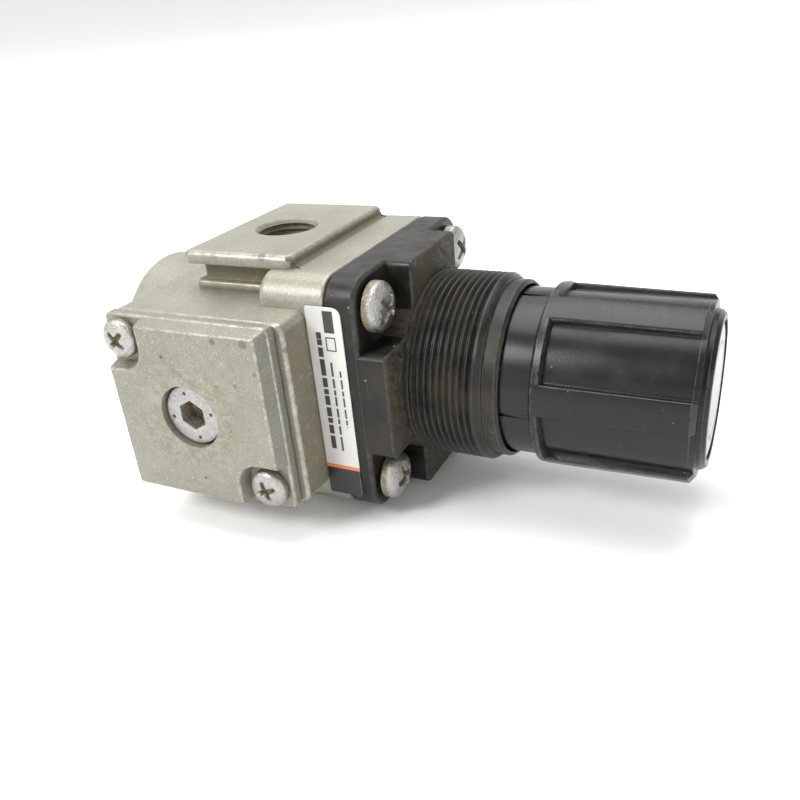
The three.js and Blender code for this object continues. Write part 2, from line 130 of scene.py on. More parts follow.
@dataclass
class Patch:
    """A piece of surface: its points, its faces and the two finish attributes."""

    points: np.ndarray
    faces: list[np.ndarray]
    wear: np.ndarray
    grime: np.ndarray

    def moved(self, x: float = 0.0, y: float = 0.0, z: float = 0.0) -> "Patch":
        """The same patch, shifted by millimetres."""
        return Patch(self.points + np.array([x, y, z]), self.faces, self.wear, self.grime)

    def half_turned(self) -> "Patch":
        """The same patch, turned by half a turn about the knob's axis."""
        return Patch(self.points * np.array([1, -1, -1]), self.faces, self.wear, self.grime)

    def flipped(self) -> "Patch":
        """The same patch with its faces turned the other way."""
        return Patch(self.points, [f[:, ::-1] for f in self.faces], self.wear, self.grime)

    def turned(self, matrix: Matrix) -> "Patch":
        """The same patch, turned by a rotation matrix about the crossing."""
        turn = np.array(matrix.to_3x3())
        return Patch(self.points @ turn.T, self.faces, self.wear, self.grime)


def merged(patches: Sequence[Patch]) -> Patch:
    """Several patches as one, with the face indices of each moved past those before it."""
    starts = np.cumsum([0] + [len(p.points) for p in patches])
    faces = [f + start for p, start in zip(patches, starts) for f in p.faces]
    return Patch(
        np.concatenate([p.points for p in patches]),
        faces,
        np.concatenate([p.wear for p in patches]),
        np.concatenate([p.grime for p in patches]),
    )


def skin(loops: np.ndarray, wear: np.ndarray, grime: np.ndarray, ring: bool = False) -> Patch:
    """Skins a stack of closed loops.

    Row i and row i + 1 are joined by quads. The stack's two ends are closed by a fan to the end
    loop's middle, or joined to each other where the stack is itself a ring.

    Args:
        loops: (rows, columns, 3) points; seen from the stack's high end, columns run anticlockwise
            and rows run from the low end outwards and up.
        wear: bareness of the edges, and on the knob painted highlight lines, 0 to 1, for each point
            or for each row.
        grime: dirt in the corners, 0 to 1, in the same form.
        ring: whether the last row joins the first.

    Returns:
        The closed patch.
    """
    rows, columns, _ = loops.shape
    index = np.arange(rows * columns).reshape(rows, columns)
    upper = np.roll(index, -1, axis=0) if ring else index[1:]
    lower = index if ring else index[:-1]
    quads = np.stack([lower, np.roll(lower, -1, 1), np.roll(upper, -1, 1), upper], -1)
    faces = [quads.reshape(-1, 4)]
    if not ring:
        first, last, middle = index[0], index[-1], np.full(columns, rows * columns)
        faces.append(np.stack([np.roll(first, -1), first, middle], -1))
        faces.append(np.stack([last, np.roll(last, -1), middle + 1], -1))

    def listed(values: np.ndarray) -> np.ndarray:
        """One value a point, with the two end middles' last where the ends are closed."""
        flat = values.reshape(-1, *values.shape[2:])
        return flat if ring else np.concatenate([flat, values[[0, -1]].mean(axis=1)])

    wear, grime = (np.broadcast_to(values, (rows, columns)) for values in (wear, grime))
    return Patch(listed(loops), faces, listed(wear), listed(grime))


# How far a corner's arc, and the point outside it, may reach along a side, as a share of the side.
ARC_SHARE = 0.45
MARGIN_SHARE = 0.48
SMALLEST_ARC = 1e-4


def rounded(
    corners: Sequence[Pair], radii: Union[float, Sequence[float]], closed: bool, steps: int = 3
) -> tuple[np.ndarray, np.ndarray]:
    """Rounds the corners of a line of points.

    Each corner becomes an arc that touches both of its sides, cut short where a side has no room,
    with one more point just outside each end of the arc so that flats stay flat when shaded.

    Args:
        corners: the line's points.
        radii: one radius for every corner, or one for each.
        closed: whether the line closes on itself.
        steps: the number of straight pieces in an arc.

    Returns:
        (n, 2) points, and for each the way it turns: 1 to the left, -1 to the right, 0 on a flat.
    """
    line = np.array(corners, float)
    count = len(line)
    sizes = np.full(count, radii, float) if np.isscalar(radii) else np.array(radii, float)
    points: list[np.ndarray] = []
    turns: list[float] = []
    for i in range(count):
        here = line[i]
        if not closed and i in (0, count - 1):
            points.append(here)
            turns.append(0.0)
            continue
        before, after = line[i - 1] - here, line[(i + 1) % count] - here
        reach_a, reach_b = np.linalg.norm(before), np.linalg.norm(after)
        a, b = before / reach_a, after / reach_b
        half_angle = math.acos(float(np.clip(a @ b, -1, 1))) / 2
        trim = min(sizes[i] / math.tan(half_angle), ARC_SHARE * reach_a, ARC_SHARE * reach_b)
        if trim < SMALLEST_ARC:
            points.append(here)
            turns.append(0.0)
            continue
        way = -math.copysign(1.0, a[0] * b[1] - a[1] * b[0])
        room = MARGIN_SHARE * min(reach_a, reach_b) - trim
        margin = min(0.12 * trim + 0.02, room)
        radius = trim * math.tan(half_angle)
        middle = here + (a + b) / np.linalg.norm(a + b) * (radius / math.sin(half_angle))
        start, end = here + a * trim - middle, here + b * trim - middle
        sweep = math.atan2(start[0] * end[1] - start[1] * end[0], float(start @ end))
        share = np.linspace(0, sweep, steps + 1)
        arc = np.stack(
            [
                start[0] * np.cos(share) - start[1] * np.sin(share),
                start[0] * np.sin(share) + start[1] * np.cos(share),
            ],
            -1,
        )
        points.append(here + a * (trim + margin))
        points.extend(arc + middle)
        points.append(here + b * (trim + margin))
        turns.extend([0.0] + [way] * (steps + 1) + [0.0])
    return np.array(points), np.array(turns)


def box_outline(u: Pair, v: Pair, radius: float, steps: int = 5) -> np.ndarray:
    """A rectangle with rounded corners, anticlockwise, from its (low, high) in each direction."""
    corners = [(u[1], v[0]), (u[1], v[1]), (u[0], v[1]), (u[0], v[0])]
    return rounded(corners, radius, closed=True, steps=steps)[0]


def inset(outline: np.ndarray, distance: float) -> np.ndarray:
    """An anticlockwise outline moved inwards: each point goes along its mean normal."""
    ahead = np.roll(outline, -1, 0) - outline
    normal = np.stack([ahead[:, 1], -ahead[:, 0]], -1)
    normal /= np.linalg.norm(normal, axis=1, keepdims=True)
    both = normal + np.roll(normal, 1, 0)
    share = 1 + np.sum(normal * np.roll(normal, 1, 0), axis=1, keepdims=True)
    return outline - both / np.maximum(share, 0.3) * distance


# A ray that runs along a side is kept from a division by nothing.
SMALLEST_LEAN = 1e-9
# Even angles that every loop has, and the least step between two angles, in radians.
EVEN_BEARINGS = 72
LEAST_STEP = 1e-4


def rays(angles: np.ndarray) -> np.ndarray:
    """The unit vector at each angle."""
    return np.stack([np.cos(angles), np.sin(angles)], -1)


def spokes(outline: np.ndarray, angles: np.ndarray, centre: Pair = (0.0, 0.0)) -> np.ndarray:
    """The points where rays from a centre meet a star-shaped outline.

    The outline's angle about the centre only grows along it, so the share of each side that a ray
    cuts is found from the two side ends' angles and distances.

    Args:
        outline: (n, 2) anticlockwise points.
        angles: the rays' angles, in radians.
        centre: where the rays start.

    Returns:
        (len(angles), 2) points.
    """
    arm = outline - np.array(centre)
    bearing = np.unwrap(np.arctan2(arm[:, 1], arm[:, 0]))
    place = bearing[0] + np.mod(angles - bearing[0], 2 * math.pi)
    ends = np.append(bearing, bearing[0] + 2 * math.pi)
    side = np.clip(np.searchsorted(ends, place, side="right") - 1, 0, len(arm) - 1)
    a, b = arm[side], arm[(side + 1) % len(arm)]
    ray = rays(angles)
    across = b - a
    lean = ray[:, 0] * across[:, 1] - ray[:, 1] * across[:, 0]
    lean = np.where(np.abs(lean) < SMALLEST_LEAN, SMALLEST_LEAN, lean)
    reach = (a[:, 0] * across[:, 1] - a[:, 1] * across[:, 0]) / lean
    return ray * reach[:, None] + np.array(centre)


def bearings(outlines: Sequence[np.ndarray], centre: Pair = (0.0, 0.0)) -> np.ndarray:
    """Every angle at which one of the outlines has a point, with even ones between."""
    found = [np.linspace(-math.pi, math.pi, EVEN_BEARINGS + 1)[:-1]]
    for outline in outlines:
        arm = outline - np.array(centre)
        found.append(np.arctan2(arm[:, 1], arm[:, 0]))
    angles = np.sort(np.concatenate(found))
    return angles[np.append(True, np.diff(angles) > LEAST_STEP)]


def set_on(axis: Axis, along: np.ndarray, flat: np.ndarray) -> np.ndarray:
    """Points from a place along an axis and a place in the plane across it."""
    points = np.empty(np.broadcast_shapes(along.shape, flat.shape[:-1]) + (3,))
    points[..., axis.value[0]] = along
    points[..., axis.value[1]] = flat[..., 0]
    points[..., axis.value[2]] = flat[..., 1]
    return points


@dataclass(frozen=True)
class Profile:
    """A line of (place along the axis, radius) points with rounded corners."""

    corners: tuple[Pair, ...]
    radius: Union[float, tuple[float, ...]] = 0.2
    closed: bool = False
    steps: int = 3

    def points(self) -> tuple[np.ndarray, np.ndarray, np.ndarray]:
        """The rounded line, with the wear of its outer corners and the grime of its inner ones."""
        line, turn = rounded(self.corners, self.radius, self.closed, self.steps)
        # A line that runs up the outside turns right where the solid's corner is an outer one.
        return line, np.clip(-turn, 0, 1), np.clip(turn, 0, 1)


# A place along the axis, the loop across it, and its wear and grime: numbers or one for each point.
Amount = Union[float, np.ndarray]
Level = tuple[Amount, np.ndarray, Amount, Amount]


def stacked(axis: Axis, levels: Sequence[Level]) -> Patch:
    """Skins a stack of levels, each a loop with as many points as the others.

    Args:
        axis: the axis that the stack runs along.
        levels: from the low end outwards and up.

    Returns:
        The closed patch.
    """
    flat = np.array([level[1] for level in levels])
    along, wear, grime = (
        np.array([np.broadcast_to(level[part], flat.shape[1]) for level in levels])
        for part in (0, 2, 3)
    )
    return skin(set_on(axis, along, flat), wear, grime)


def revolve(axis: Axis, profile: Profile, columns: int) -> Patch:
    """Turns a profile about an axis: each of its points becomes a circle of its radius.

    Args:
        axis: the axis.
        profile: the line that is turned, from the low end outwards and up.
        columns: the number of points round.

    Returns:
        The closed patch.
    """
    line, wear, grime = profile.points()
    angles = np.linspace(0, 2 * math.pi, columns, endpoint=False)
    loops = set_on(axis, line[:, :1], rays(angles) * line[:, 1:, None])
    return skin(loops, wear[:, None], grime[:, None], profile.closed)


def slab(
    axis: Axis,
    outline: np.ndarray,
    profile: Profile,
    bore: float = 0.0,
    centre: Pair = (0.0, 0.0),
) -> Patch:
    """A slab with rounded edges: its outline is carried along the axis and drawn in.

    Args:
        axis: the axis across the slab.
        outline: (n, 2) anticlockwise points in the plane across the axis.
        profile: (place along the axis, outset from the outline) points.
        bore: the radius of a round hole through the slab, or 0 for none.
        centre: the middle of the hole, from which the outline is star-shaped.

    Returns:
        The closed patch.
    """
    line, wear, grime = profile.points()
    if bore:
        angles = bearings([outline], centre)
        ring = rays(angles) * bore + np.array(centre)
        loops = [ring] + [spokes(inset(outline, -out), angles, centre) for _, out in line] + [ring]
        line = np.concatenate([line[:1], line, line[-1:]])
        wear = np.pad(wear, 1, constant_values=0.6)
        grime = np.pad(grime, 1, constant_values=0.5)
    else:
        loops = [inset(outline, -out) for _, out in line]
    points = set_on(axis, line[:, :1], np.array(loops))
    return skin(points, wear[:, None], grime[:, None], bool(bore))


def smooth_mesh(
    name: str, points: np.ndarray, faces: Sequence[np.ndarray], material: bpy.types.Material
) -> bpy.types.Mesh:
    """A mesh of points in metres and blocks of faces, shaded smooth."""
    mesh = bpy.data.meshes.new(name)
    rows = [face for block in faces for face in block.tolist()]
    mesh.from_pydata(points.tolist(), [], rows)
    mesh.polygons.foreach_set("use_smooth", np.ones(len(rows), bool))
    mesh.materials.append(material)
    mesh.update()
    return mesh


def put_in_scene(name: str, data: bpy.types.ID) -> bpy.types.Object:
    """A new object of a mesh, light or camera, linked to the scene."""
    made = bpy.data.objects.new(name, data)
    bpy.context.scene.collection.objects.link(made)
    return made


def piece(
    name: str,
    patches: Sequence[Patch],
    material: bpy.types.Material,
    body: str,
    nodes: Sequence[str] = (),
    smooth_deg: float = 38.0,
) -> bpy.types.Object:
    """Makes a Blender object of patches, and ties it to the frame.

    Args:
        name: the object's name.
        patches: its surfaces, in millimetres about the crossing.
        material: its finish.
        body: the CAD body that it rides on.
        nodes: the CAD nodes that it stands for.
        smooth_deg: edges that fold by more than this are shaded sharp.

    Returns:
        The object.
    """
    whole = merged(patches)
    mesh = smooth_mesh(name, DATUM.place(whole.points), whole.faces, material)
    for label, values in (("wear", whole.wear), ("grime", whole.grime)):
        attribute = mesh.attributes.new(label, "FLOAT", "POINT")
        attribute.data.foreach_set("value", values.astype(np.float32))
    mesh.set_sharp_from_angle(angle=math.radians(smooth_deg))
    made = put_in_scene(name, mesh)
    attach(made, body)
    if nodes:
        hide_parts(*nodes)
    log.info("%s: %d points, %d faces", name, len(mesh.vertices), len(mesh.polygons))
    return made


# Shader maths ----------------------------------------------------------------------------------

Value = Union["Wire", float]


class Wire:
    """A node's output socket that Python arithmetic works on."""

    def __init__(self, board: "Board", socket: bpy.types.NodeSocket) -> None:
        """Keeps the socket and the board that its node is on."""
        self.board = board
        self.socket = socket

    def __add__(self, other: Value) -> "Wire":
        """self + other."""
        return self.board.math("ADD", self, other)

    def __radd__(self, other: Value) -> "Wire":
        """other + self."""
        return self.board.math("ADD", other, self)

    def __sub__(self, other: Value) -> "Wire":
        """self - other."""
        return self.board.math("SUBTRACT", self, other)

    def __rsub__(self, other: Value) -> "Wire":
        """other - self."""
        return self.board.math("SUBTRACT", other, self)

    def __mul__(self, other: Value) -> "Wire":
        """self * other."""
        return self.board.math("MULTIPLY", self, other)

    def __rmul__(self, other: Value) -> "Wire":
        """other * self."""
        return self.board.math("MULTIPLY", other, self)

    def at_most(self, other: Value) -> "Wire":
        """The lesser of the two."""
        return self.board.math("MINIMUM", self, other)

    def magnitude(self) -> "Wire":
        """The value without its sign."""
        return self.board.math("ABSOLUTE", self, 0.0)

    def step(self, low: float, high: float) -> "Wire":
        """0 at low, 1 at high, with a smooth change between; low may be the greater."""
        node = self.board.node(
            "ShaderNodeMapRange",
            {"interpolation_type": "SMOOTHSTEP"},
            {0: self, 1: low, 2: high, 3: 0.0, 4: 1.0},
        )
        return Wire(self.board, node.outputs[0])

    def within(self, low: float, high: float, blur: float) -> "Wire":
        """1 between low and high, fading over a blur just above each."""
        return self.step(low, low + blur) * self.step(high + blur, high)


class Board:
    """The node tree of one material, with a Principled shader at its end."""

    def __init__(self, name: str) -> None:
        """Makes the material and empties its tree but for the shader and the output."""
        self.material = bpy.data.materials.new(name)
        self.material.use_nodes = True
        self.tree = self.material.node_tree
        self.tree.nodes.clear()
        self.shader = self.tree.nodes.new("ShaderNodeBsdfPrincipled")
        output = self.tree.nodes.new("ShaderNodeOutputMaterial")
        self.tree.links.new(self.shader.outputs[0], output.inputs[0])
        texture = self.node("ShaderNodeTexCoord", {}, {})
        grown = self.node(
            "ShaderNodeVectorMath",
            {"operation": "SCALE"},
            {0: Wire(self, texture.outputs["Object"]), "Scale": MM_IN_M},
        )
        moved = self.node(
            "ShaderNodeVectorMath",
            {"operation": "SUBTRACT"},
            {0: Wire(self, grown.outputs[0]), 1: tuple(DATUM.origin * MM_IN_M)},
        )
        self.place = Wire(self, moved.outputs[0])

    def node(self, kind: str, settings: dict, inputs: dict) -> bpy.types.Node:
        """Adds any node.

        Args:
            kind: the node's type name.
            settings: attributes that are set first; "stops" holds a ramp's (place, colour) pairs.
            inputs: values or wires by the socket's number or name.

        Returns:
            The node.
        """
        made = self.tree.nodes.new(kind)
        for label, value in settings.items():
            if label == "stops":
                elements = made.color_ramp.elements
                while len(elements) < len(value):
                    elements.new(0.5)
                for element, (place, colour) in zip(elements, value):
                    element.position = place
                    element.color = (*colour, 1.0)
            else:
                setattr(made, label, value)
        for label, value in inputs.items():
            self.join(made.inputs[label], value)
        return made

    def join(self, socket: bpy.types.NodeSocket, value: object) -> None:
        """Links a wire to a socket, or sets the socket's own value."""
        if isinstance(value, Wire):
            self.tree.links.new(value.socket, socket)
        elif isinstance(value, tuple) and len(value) == 3 and socket.type == "RGBA":
            socket.default_value = (*value, 1.0)
        else:
            socket.default_value = value

    def math(self, operation: str, first: Value, second: Value) -> Wire:
        """One Math node."""
        node = self.node("ShaderNodeMath", {"operation": operation}, {0: first, 1: second})
        return Wire(self, node.outputs[0])

    def mark(self, name: str) -> Wire:
        """A point attribute of the mesh, by name."""
        node = self.node("ShaderNodeAttribute", {"attribute_name": name}, {})
        return Wire(self, node.outputs["Fac"])

    def part(self, axis: Axis) -> Wire:
        """One coordinate, in millimetres from the crossing."""
        node = self.node("ShaderNodeSeparateXYZ", {}, {0: self.place})
        return Wire(self, node.outputs[axis.value[0]])

    def hypot(self, first: Wire, second: Wire) -> Wire:
        """The root of the two squares' sum."""
        return self.math("SQRT", first * first + second * second, 0.0)

    def noise(
        self, scale: float, detail: float = 3.0, rough: float = 0.55, seed: float = 0.0
    ) -> Wire:
        """Soft noise from 0 to 1, with `scale` features in a millimetre."""
        node = self.node(
            "ShaderNodeTexNoise",
            {"noise_dimensions": "4D"},
            {"Vector": self.place, "W": seed, "Scale": scale, "Detail": detail, "Roughness": rough},
        )
        return Wire(self, node.outputs[0])

    def specks(self, scale: float, size: float, share: float) -> Wire:
        """Small spots: 1 inside a share of Voronoi cells' middles, `size` of a cell across."""
        cells = self.node("ShaderNodeTexVoronoi", {}, {"Vector": self.place, "Scale": scale})
        near = Wire(self, cells.outputs["Distance"]).step(size, 0.5 * size)
        split = self.node("ShaderNodeSeparateColor", {}, {0: Wire(self, cells.outputs["Color"])})
        return near * Wire(self, split.outputs[0]).step(share, share - 0.02)

    def scratches(self, stretch: Triple, scale: float, width: float) -> Wire:
        """Thin lines: the middle crossings of noise that is drawn out along one direction."""
        drawn = self.node(
            "ShaderNodeMapping",
            {},
            {"Vector": self.place, "Scale": stretch, "Rotation": (0.5, 0.9, 0.3)},
        )
        node = self.node(
            "ShaderNodeTexNoise",
            {},
            {"Vector": Wire(self, drawn.outputs[0]), "Scale": scale, "Detail": 1.0},
        )
        line = (Wire(self, node.outputs[0]) - 0.5).magnitude().step(width, 0.0)
        return line * self.noise(0.16, 1.0, seed=4.0).step(0.56, 0.64)

    def blend(self, factor: Value, first: object, second: object) -> Wire:
        """A colour between two, by a factor."""
        node = self.node(
            "ShaderNodeMix", {"data_type": "RGBA"}, {0: factor, 6: first, 7: second}
        )
        return Wire(self, node.outputs[2])

    def distance(self, point: Triple) -> Wire:
        """How far a place is from a point, in millimetres about the crossing."""
        node = self.node(
            "ShaderNodeVectorMath", {"operation": "DISTANCE"}, {0: self.place, 1: point}
        )
        return Wire(self, node.outputs["Value"])

    def relief(self, height: Wire, millimetres: float) -> None:
        """Gives the shader a bump whose full height is the given size."""
        node = self.node(
            "ShaderNodeBump",
            {},
            {"Strength": 1.0, "Distance": millimetres / MM_IN_M, "Height": height},
        )
        self.join(self.shader.inputs["Normal"], Wire(self, node.outputs[0]))

    def set(self, **values: object) -> bpy.types.Material:
        """Sets or links the shader's sockets, named with _ for a space, and gives the material."""
        for label, value in values.items():
            name = {"ior": "IOR", "specular": "Specular IOR Level"}.get(
                label, label.replace("_", " ").title()
            )
            self.join(self.shader.inputs[name], value)
        return self.material


# Finishes --------------------------------------------------------------------------------------

DARK_PRINT = (0.02, 0.02, 0.02)


@dataclass(frozen=True)
class Chip:
    """A small spot where the paint is knocked off or smudged."""

    place: Triple
    radius: float
    colour: Colour = (0.1, 0.11, 0.12)
    strength: float = 0.7


@dataclass(frozen=True)
class CastPaint:
    """Pale metallic paint on a casting: grained, stained in its corners and bare on its edges."""

    name: str
    colour: Colour = (0.295, 0.287, 0.235)
    shade: Colour = (0.215, 0.208, 0.165)
    bare: Colour = (0.6, 0.585, 0.5)
    stain: Colour = (0.125, 0.105, 0.058)
    roughness: float = 0.42
    metallic: float = 0.35
    stain_reach: float = 1.3
    chips: tuple[Chip, ...] = ()

    def build(self) -> bpy.types.Material:
        """Makes the material."""
        board = Board(self.name)
        wear, grime = board.mark("wear"), board.mark("grime")
        grain = board.noise(3.4, 3.0, 0.7, seed=1.0)
        cloud = board.noise(0.13, 4.0, 0.6, seed=2.0)
        fleck = board.noise(4.6, 2.0, 0.6, seed=3.0)
        tone = cloud.step(0.3, 0.7) * 0.6 + grain.step(0.2, 0.8) * 0.4
        base = board.blend(tone, self.shade, self.colour)
        base = board.blend(fleck.step(0.56, 0.7) * 0.5, base, self.bare)
        pores = board.noise(2.1, 2.0, 0.6, seed=9.0).step(0.4, 0.28)
        base = board.blend(pores * 0.3, base, self.stain)
        spread = board.noise(0.8, 4.0, 0.75, seed=5.0).step(0.22, 0.52)
        dirt = (grime * self.stain_reach * spread).at_most(1.0)
        base = board.blend(dirt * 0.9, base, self.stain)
        rub = wear * board.noise(0.9, 4.0, 0.75, seed=6.0).step(0.36, 0.66)
        base = board.blend(rub * 0.4, base, self.bare)
        nick = board.specks(0.3, 0.085, 0.3)
        base = board.blend(nick * 0.75, base, self.stain)
        line = board.scratches((0.35, 0.35, 4.0), 0.35, 0.006)
        base = board.blend(line * 0.25, base, self.bare)
        for chip in self.chips:
            ragged = 0.7 + 0.6 * board.noise(1.1, 3.0, seed=chip.radius)
            spot = (board.distance(chip.place) * ragged).step(chip.radius, 0.7 * chip.radius)
            base = board.blend(spot * chip.strength, base, chip.colour)
        board.relief(grain * 0.5 + fleck * 0.25 - nick * 0.6 - rub * 0.15 - line * 0.3, 0.045)
        return board.set(
            base_color=base,
            roughness=self.roughness + dirt * 0.3 + (grain - 0.5) * 0.25 - rub * 0.1,
            metallic=self.metallic - dirt * 0.3 + rub * 0.25,
        )


@dataclass(frozen=True)
class MouldedPlastic:
    """Satin black plastic with pale dust in its corners and lighter edges: worn, and on the knob
    painted highlight lines.
    """

    name: str
    colour: Colour = (0.007, 0.0075, 0.0072)
    # The edge grey is worn plastic, and on the knob it also paints highlight lines.
    edge: Colour = (0.075, 0.078, 0.075)
    dust: Colour = (0.06, 0.05, 0.034)
    fluff: Colour = (0.42, 0.41, 0.38)
    roughness: float = 0.34
    specular: float = 0.28
    dust_share: float = 0.35
    edge_share: float = 0.5
    fluff_share: float = 0.14

    def build(self) -> bpy.types.Material:
        """Makes the material."""
        board = Board(self.name)
        wear, grime = board.mark("wear"), board.mark("grime")
        mist = board.noise(0.2, 5.0, 0.62, seed=1.0)
        grain = board.noise(5.0, 3.0, 0.6, seed=2.0)
        caught = grime * board.noise(2.2, 4.0, 0.8, seed=3.0).step(0.38, 0.6)
        film = ((mist.step(0.42, 0.72) * 0.35 + caught) * self.dust_share).at_most(1.0)
        base = board.blend(film, self.colour, self.dust)
        # Lightens the edges: wear, and on the knob painted highlight lines.
        rub = wear * board.noise(1.1, 4.0, 0.7, seed=4.0).step(0.3, 0.65) * self.edge_share
        base = board.blend(rub, base, self.edge)
        fluff = board.specks(0.75, 0.12, self.fluff_share)
        base = board.blend(fluff * 0.7 * mist.step(0.45, 0.6), base, self.fluff)
        line = board.scratches((3.0, 0.3, 0.3), 0.5, 0.005)
        base = board.blend(line * 0.35, base, self.edge)
        board.relief(grain * 0.5 + mist * 0.2 - line * 0.4, 0.025)
        return board.set(
            base_color=base,
            roughness=self.roughness + film * 0.9 + (mist - 0.5) * 0.2 + rub * 0.1,
            specular=self.specular,
        )


@dataclass(frozen=True)
class PlatedMetal:
    """Zinc plate or plain metal: bright, faintly mottled, with brown patina where dirt sits."""

    name: str
    colour: Colour = (0.62, 0.61, 0.57)
    patina: Colour = (0.16, 0.115, 0.05)
    roughness: float = 0.28
    tarnish: float = 0.8

    def marked(self, board: Board, base: Wire) -> Wire:
        """The colour with this finish's own marks; plain metal has none."""
        return base

    def build(self) -> bpy.types.Material:
        """Makes the material."""
        board = Board(self.name)
        wear, grime = board.mark("wear"), board.mark("grime")
        cloud = board.noise(0.9, 4.0, 0.6, seed=1.0)
        grain = board.noise(6.0, 2.0, 0.6, seed=2.0)
        rust = (grime + cloud.step(0.62, 0.8) * 0.35).at_most(1.0) * self.tarnish
        rust = rust * board.noise(1.6, 3.0, 0.7, seed=3.0).step(0.3, 0.55)
        blotch = board.noise(2.2, 3.0, 0.7, seed=6.0).step(0.42, 0.62)
        base = board.blend(blotch * 0.45, self.colour, (0.21, 0.2, 0.175))
        base = board.blend(rust, base, self.patina)
        base = board.blend(wear * 0.25, base, (0.75, 0.74, 0.7))
        base = self.marked(board, base)
        board.relief(grain * 0.4 + cloud * 1.2 + blotch * 0.5 - rust * 0.4, 0.09)
        return board.set(
            base_color=base,
            roughness=self.roughness + rust * 0.4 + (cloud - 0.5) * 0.25,
            metallic=1.0 - rust * 0.7,
        )


@dataclass(frozen=True)
class PunchedPlate(PlatedMetal):
    """A plug's plated face with four dark punch marks on a circle round its socket."""

    centre_x: float = -2.35
    circle_r: float = 3.5
    first_deg: float = 10.0
    dot_r: float = 0.36

    def marked(self, board: Board, base: Wire) -> Wire:
        """Darkens the dots: with the circle folded into one quarter, they lie on its two axes."""
        x, z = board.part(Axis.X) - self.centre_x, board.part(Axis.Z)
        turn = math.radians(self.first_deg)
        u = (x * math.cos(turn) + z * math.sin(turn)).magnitude()
        v = (z * math.cos(turn) - x * math.sin(turn)).magnitude()
        for along, across in ((u, v), (v, u)):
            off = along - self.circle_r
            dot = board.hypot(off, across).step(self.dot_r, 0.6 * self.dot_r)
            base = board.blend(dot * 0.9, base, DARK_PRINT)
        return base


@dataclass(frozen=True)
class SoftRubber:
    """Black rubber with a dull bloom."""

    name: str
    colour: Colour = (0.02, 0.02, 0.02)

    def build(self) -> bpy.types.Material:
        """Makes the material."""
        board = Board(self.name)
        bloom = board.noise(0.6, 4.0, 0.6, seed=1.0)
        board.relief(board.noise(5.0, 2.0, seed=2.0), 0.02)
        return board.set(
            base_color=board.blend(bloom.step(0.4, 0.8) * 0.4, self.colour, (0.07, 0.07, 0.068)),
            roughness=0.6 + bloom * 0.25,
        )


@dataclass(frozen=True)
class Bar:
    """A plain printed bar, in millimetres from the plate's left edge and up from the crossing."""

    left: float
    right: float
    low: float
    high: float
    dashed: bool = False
    pale: bool = False


@dataclass(frozen=True)
class PrintedPlate:
    """A silvery plate with an orange stripe over a black end, and plain bars in place of print."""

    name: str
    left: float
    stripe: Pair = (-10.75, -10.15)
    blur: float = 0.06
    paper: Colour = (0.62, 0.61, 0.59)
    ink: Colour = (0.018, 0.018, 0.02)
    bars: tuple[Bar, ...] = (
        Bar(1.3, 2.1, -7.4, 11.0, dashed=True),
        Bar(2.95, 3.3, -7.6, 6.6, dashed=True),
        Bar(4.25, 4.55, -3.6, 5.4, dashed=True),
        Bar(2.7, 4.3, 11.0, 14.2),
        Bar(2.7, 4.3, 8.3, 10.4),
        Bar(2.9, 4.1, 8.5, 10.2, pale=True),
    )
    orange: Colour = (0.66, 0.19, 0.07)

    def build(self) -> bpy.types.Material:
        """Makes the material."""
        board = Board(self.name)
        across, up = board.part(Axis.X) - self.left, board.part(Axis.Z)
        cloud = board.noise(0.35, 4.0, 0.6).step(0.3, 0.75)
        base = board.blend(cloud * 0.3, self.paper, (0.5, 0.49, 0.46))
        wave = board.math("SINE", up * 4.1, 0.0) + board.math("SINE", up * 6.7 + 1.0, 0.0)
        dashes = wave.step(-1.1, -1.0)
        for bar in self.bars:
            inside = across.within(bar.left, bar.right, self.blur)
            inside = inside * up.within(bar.low, bar.high, self.blur)
            shown = inside * dashes if bar.dashed else inside
            base = board.blend(shown * 0.95, base, self.paper if bar.pale else self.ink)
        base = board.blend(up.step(self.stripe[1] + 0.05, self.stripe[1]), base, self.orange)
        base = board.blend(up.step(self.stripe[0] + 0.05, self.stripe[0]), base, self.ink)
        rub = board.mark("wear") * board.noise(1.5, 3.0, 0.7, seed=2.0).step(0.4, 0.6)
        base = board.blend(rub * 0.5, base, (0.45, 0.43, 0.38))
        board.relief(board.noise(1.2, 3.0, 0.6, seed=3.0), 0.015)
        return board.set(base_color=base, roughness=0.3 + rub * 0.3, metallic=0.15)


@dataclass(frozen=True)
class DialFace:
    """The knob's end disc: silver, with two dark rings and one small dark dot."""

    name: str
    rings: tuple[Pair, ...] = ((6.3, 6.8), (8.75, 9.4))
    dot: Pair = (-3.2, -3.4)
    dot_radius: float = 0.45

    def build(self) -> bpy.types.Material:
        """Makes the material."""
        board = Board(self.name)
        y, z = board.part(Axis.Y), board.part(Axis.Z)
        radius = board.hypot(y, z)
        cloud = board.noise(0.5, 4.0, 0.6).step(0.3, 0.8)
        base = board.blend(cloud * 0.4, (0.42, 0.42, 0.4), (0.28, 0.28, 0.27))
        for inner, outer in self.rings:
            base = board.blend(radius.within(inner, outer, 0.1) * 0.95, base, DARK_PRINT)
        away = board.hypot(y - self.dot[0], z - self.dot[1])
        base = board.blend(away.step(self.dot_radius, 0.8 * self.dot_radius), base, DARK_PRINT)
        board.relief(board.noise(2.0, 3.0, seed=2.0), 0.015)
        return board.set(base_color=base, roughness=0.32, metallic=0.4)


# Sub-assemblies --------------------------------------------------------------------------------


class Side(Enum):
    """The two gauge sides."""

    FRONT = "front"
    REAR = "rear"

    def turn(self, patch: Patch) -> Patch:
        """A patch drawn on the front, put on this side."""
        return patch if self is Side.FRONT else patch.half_turned()


# The points round a smooth circle.
ROUND = 96


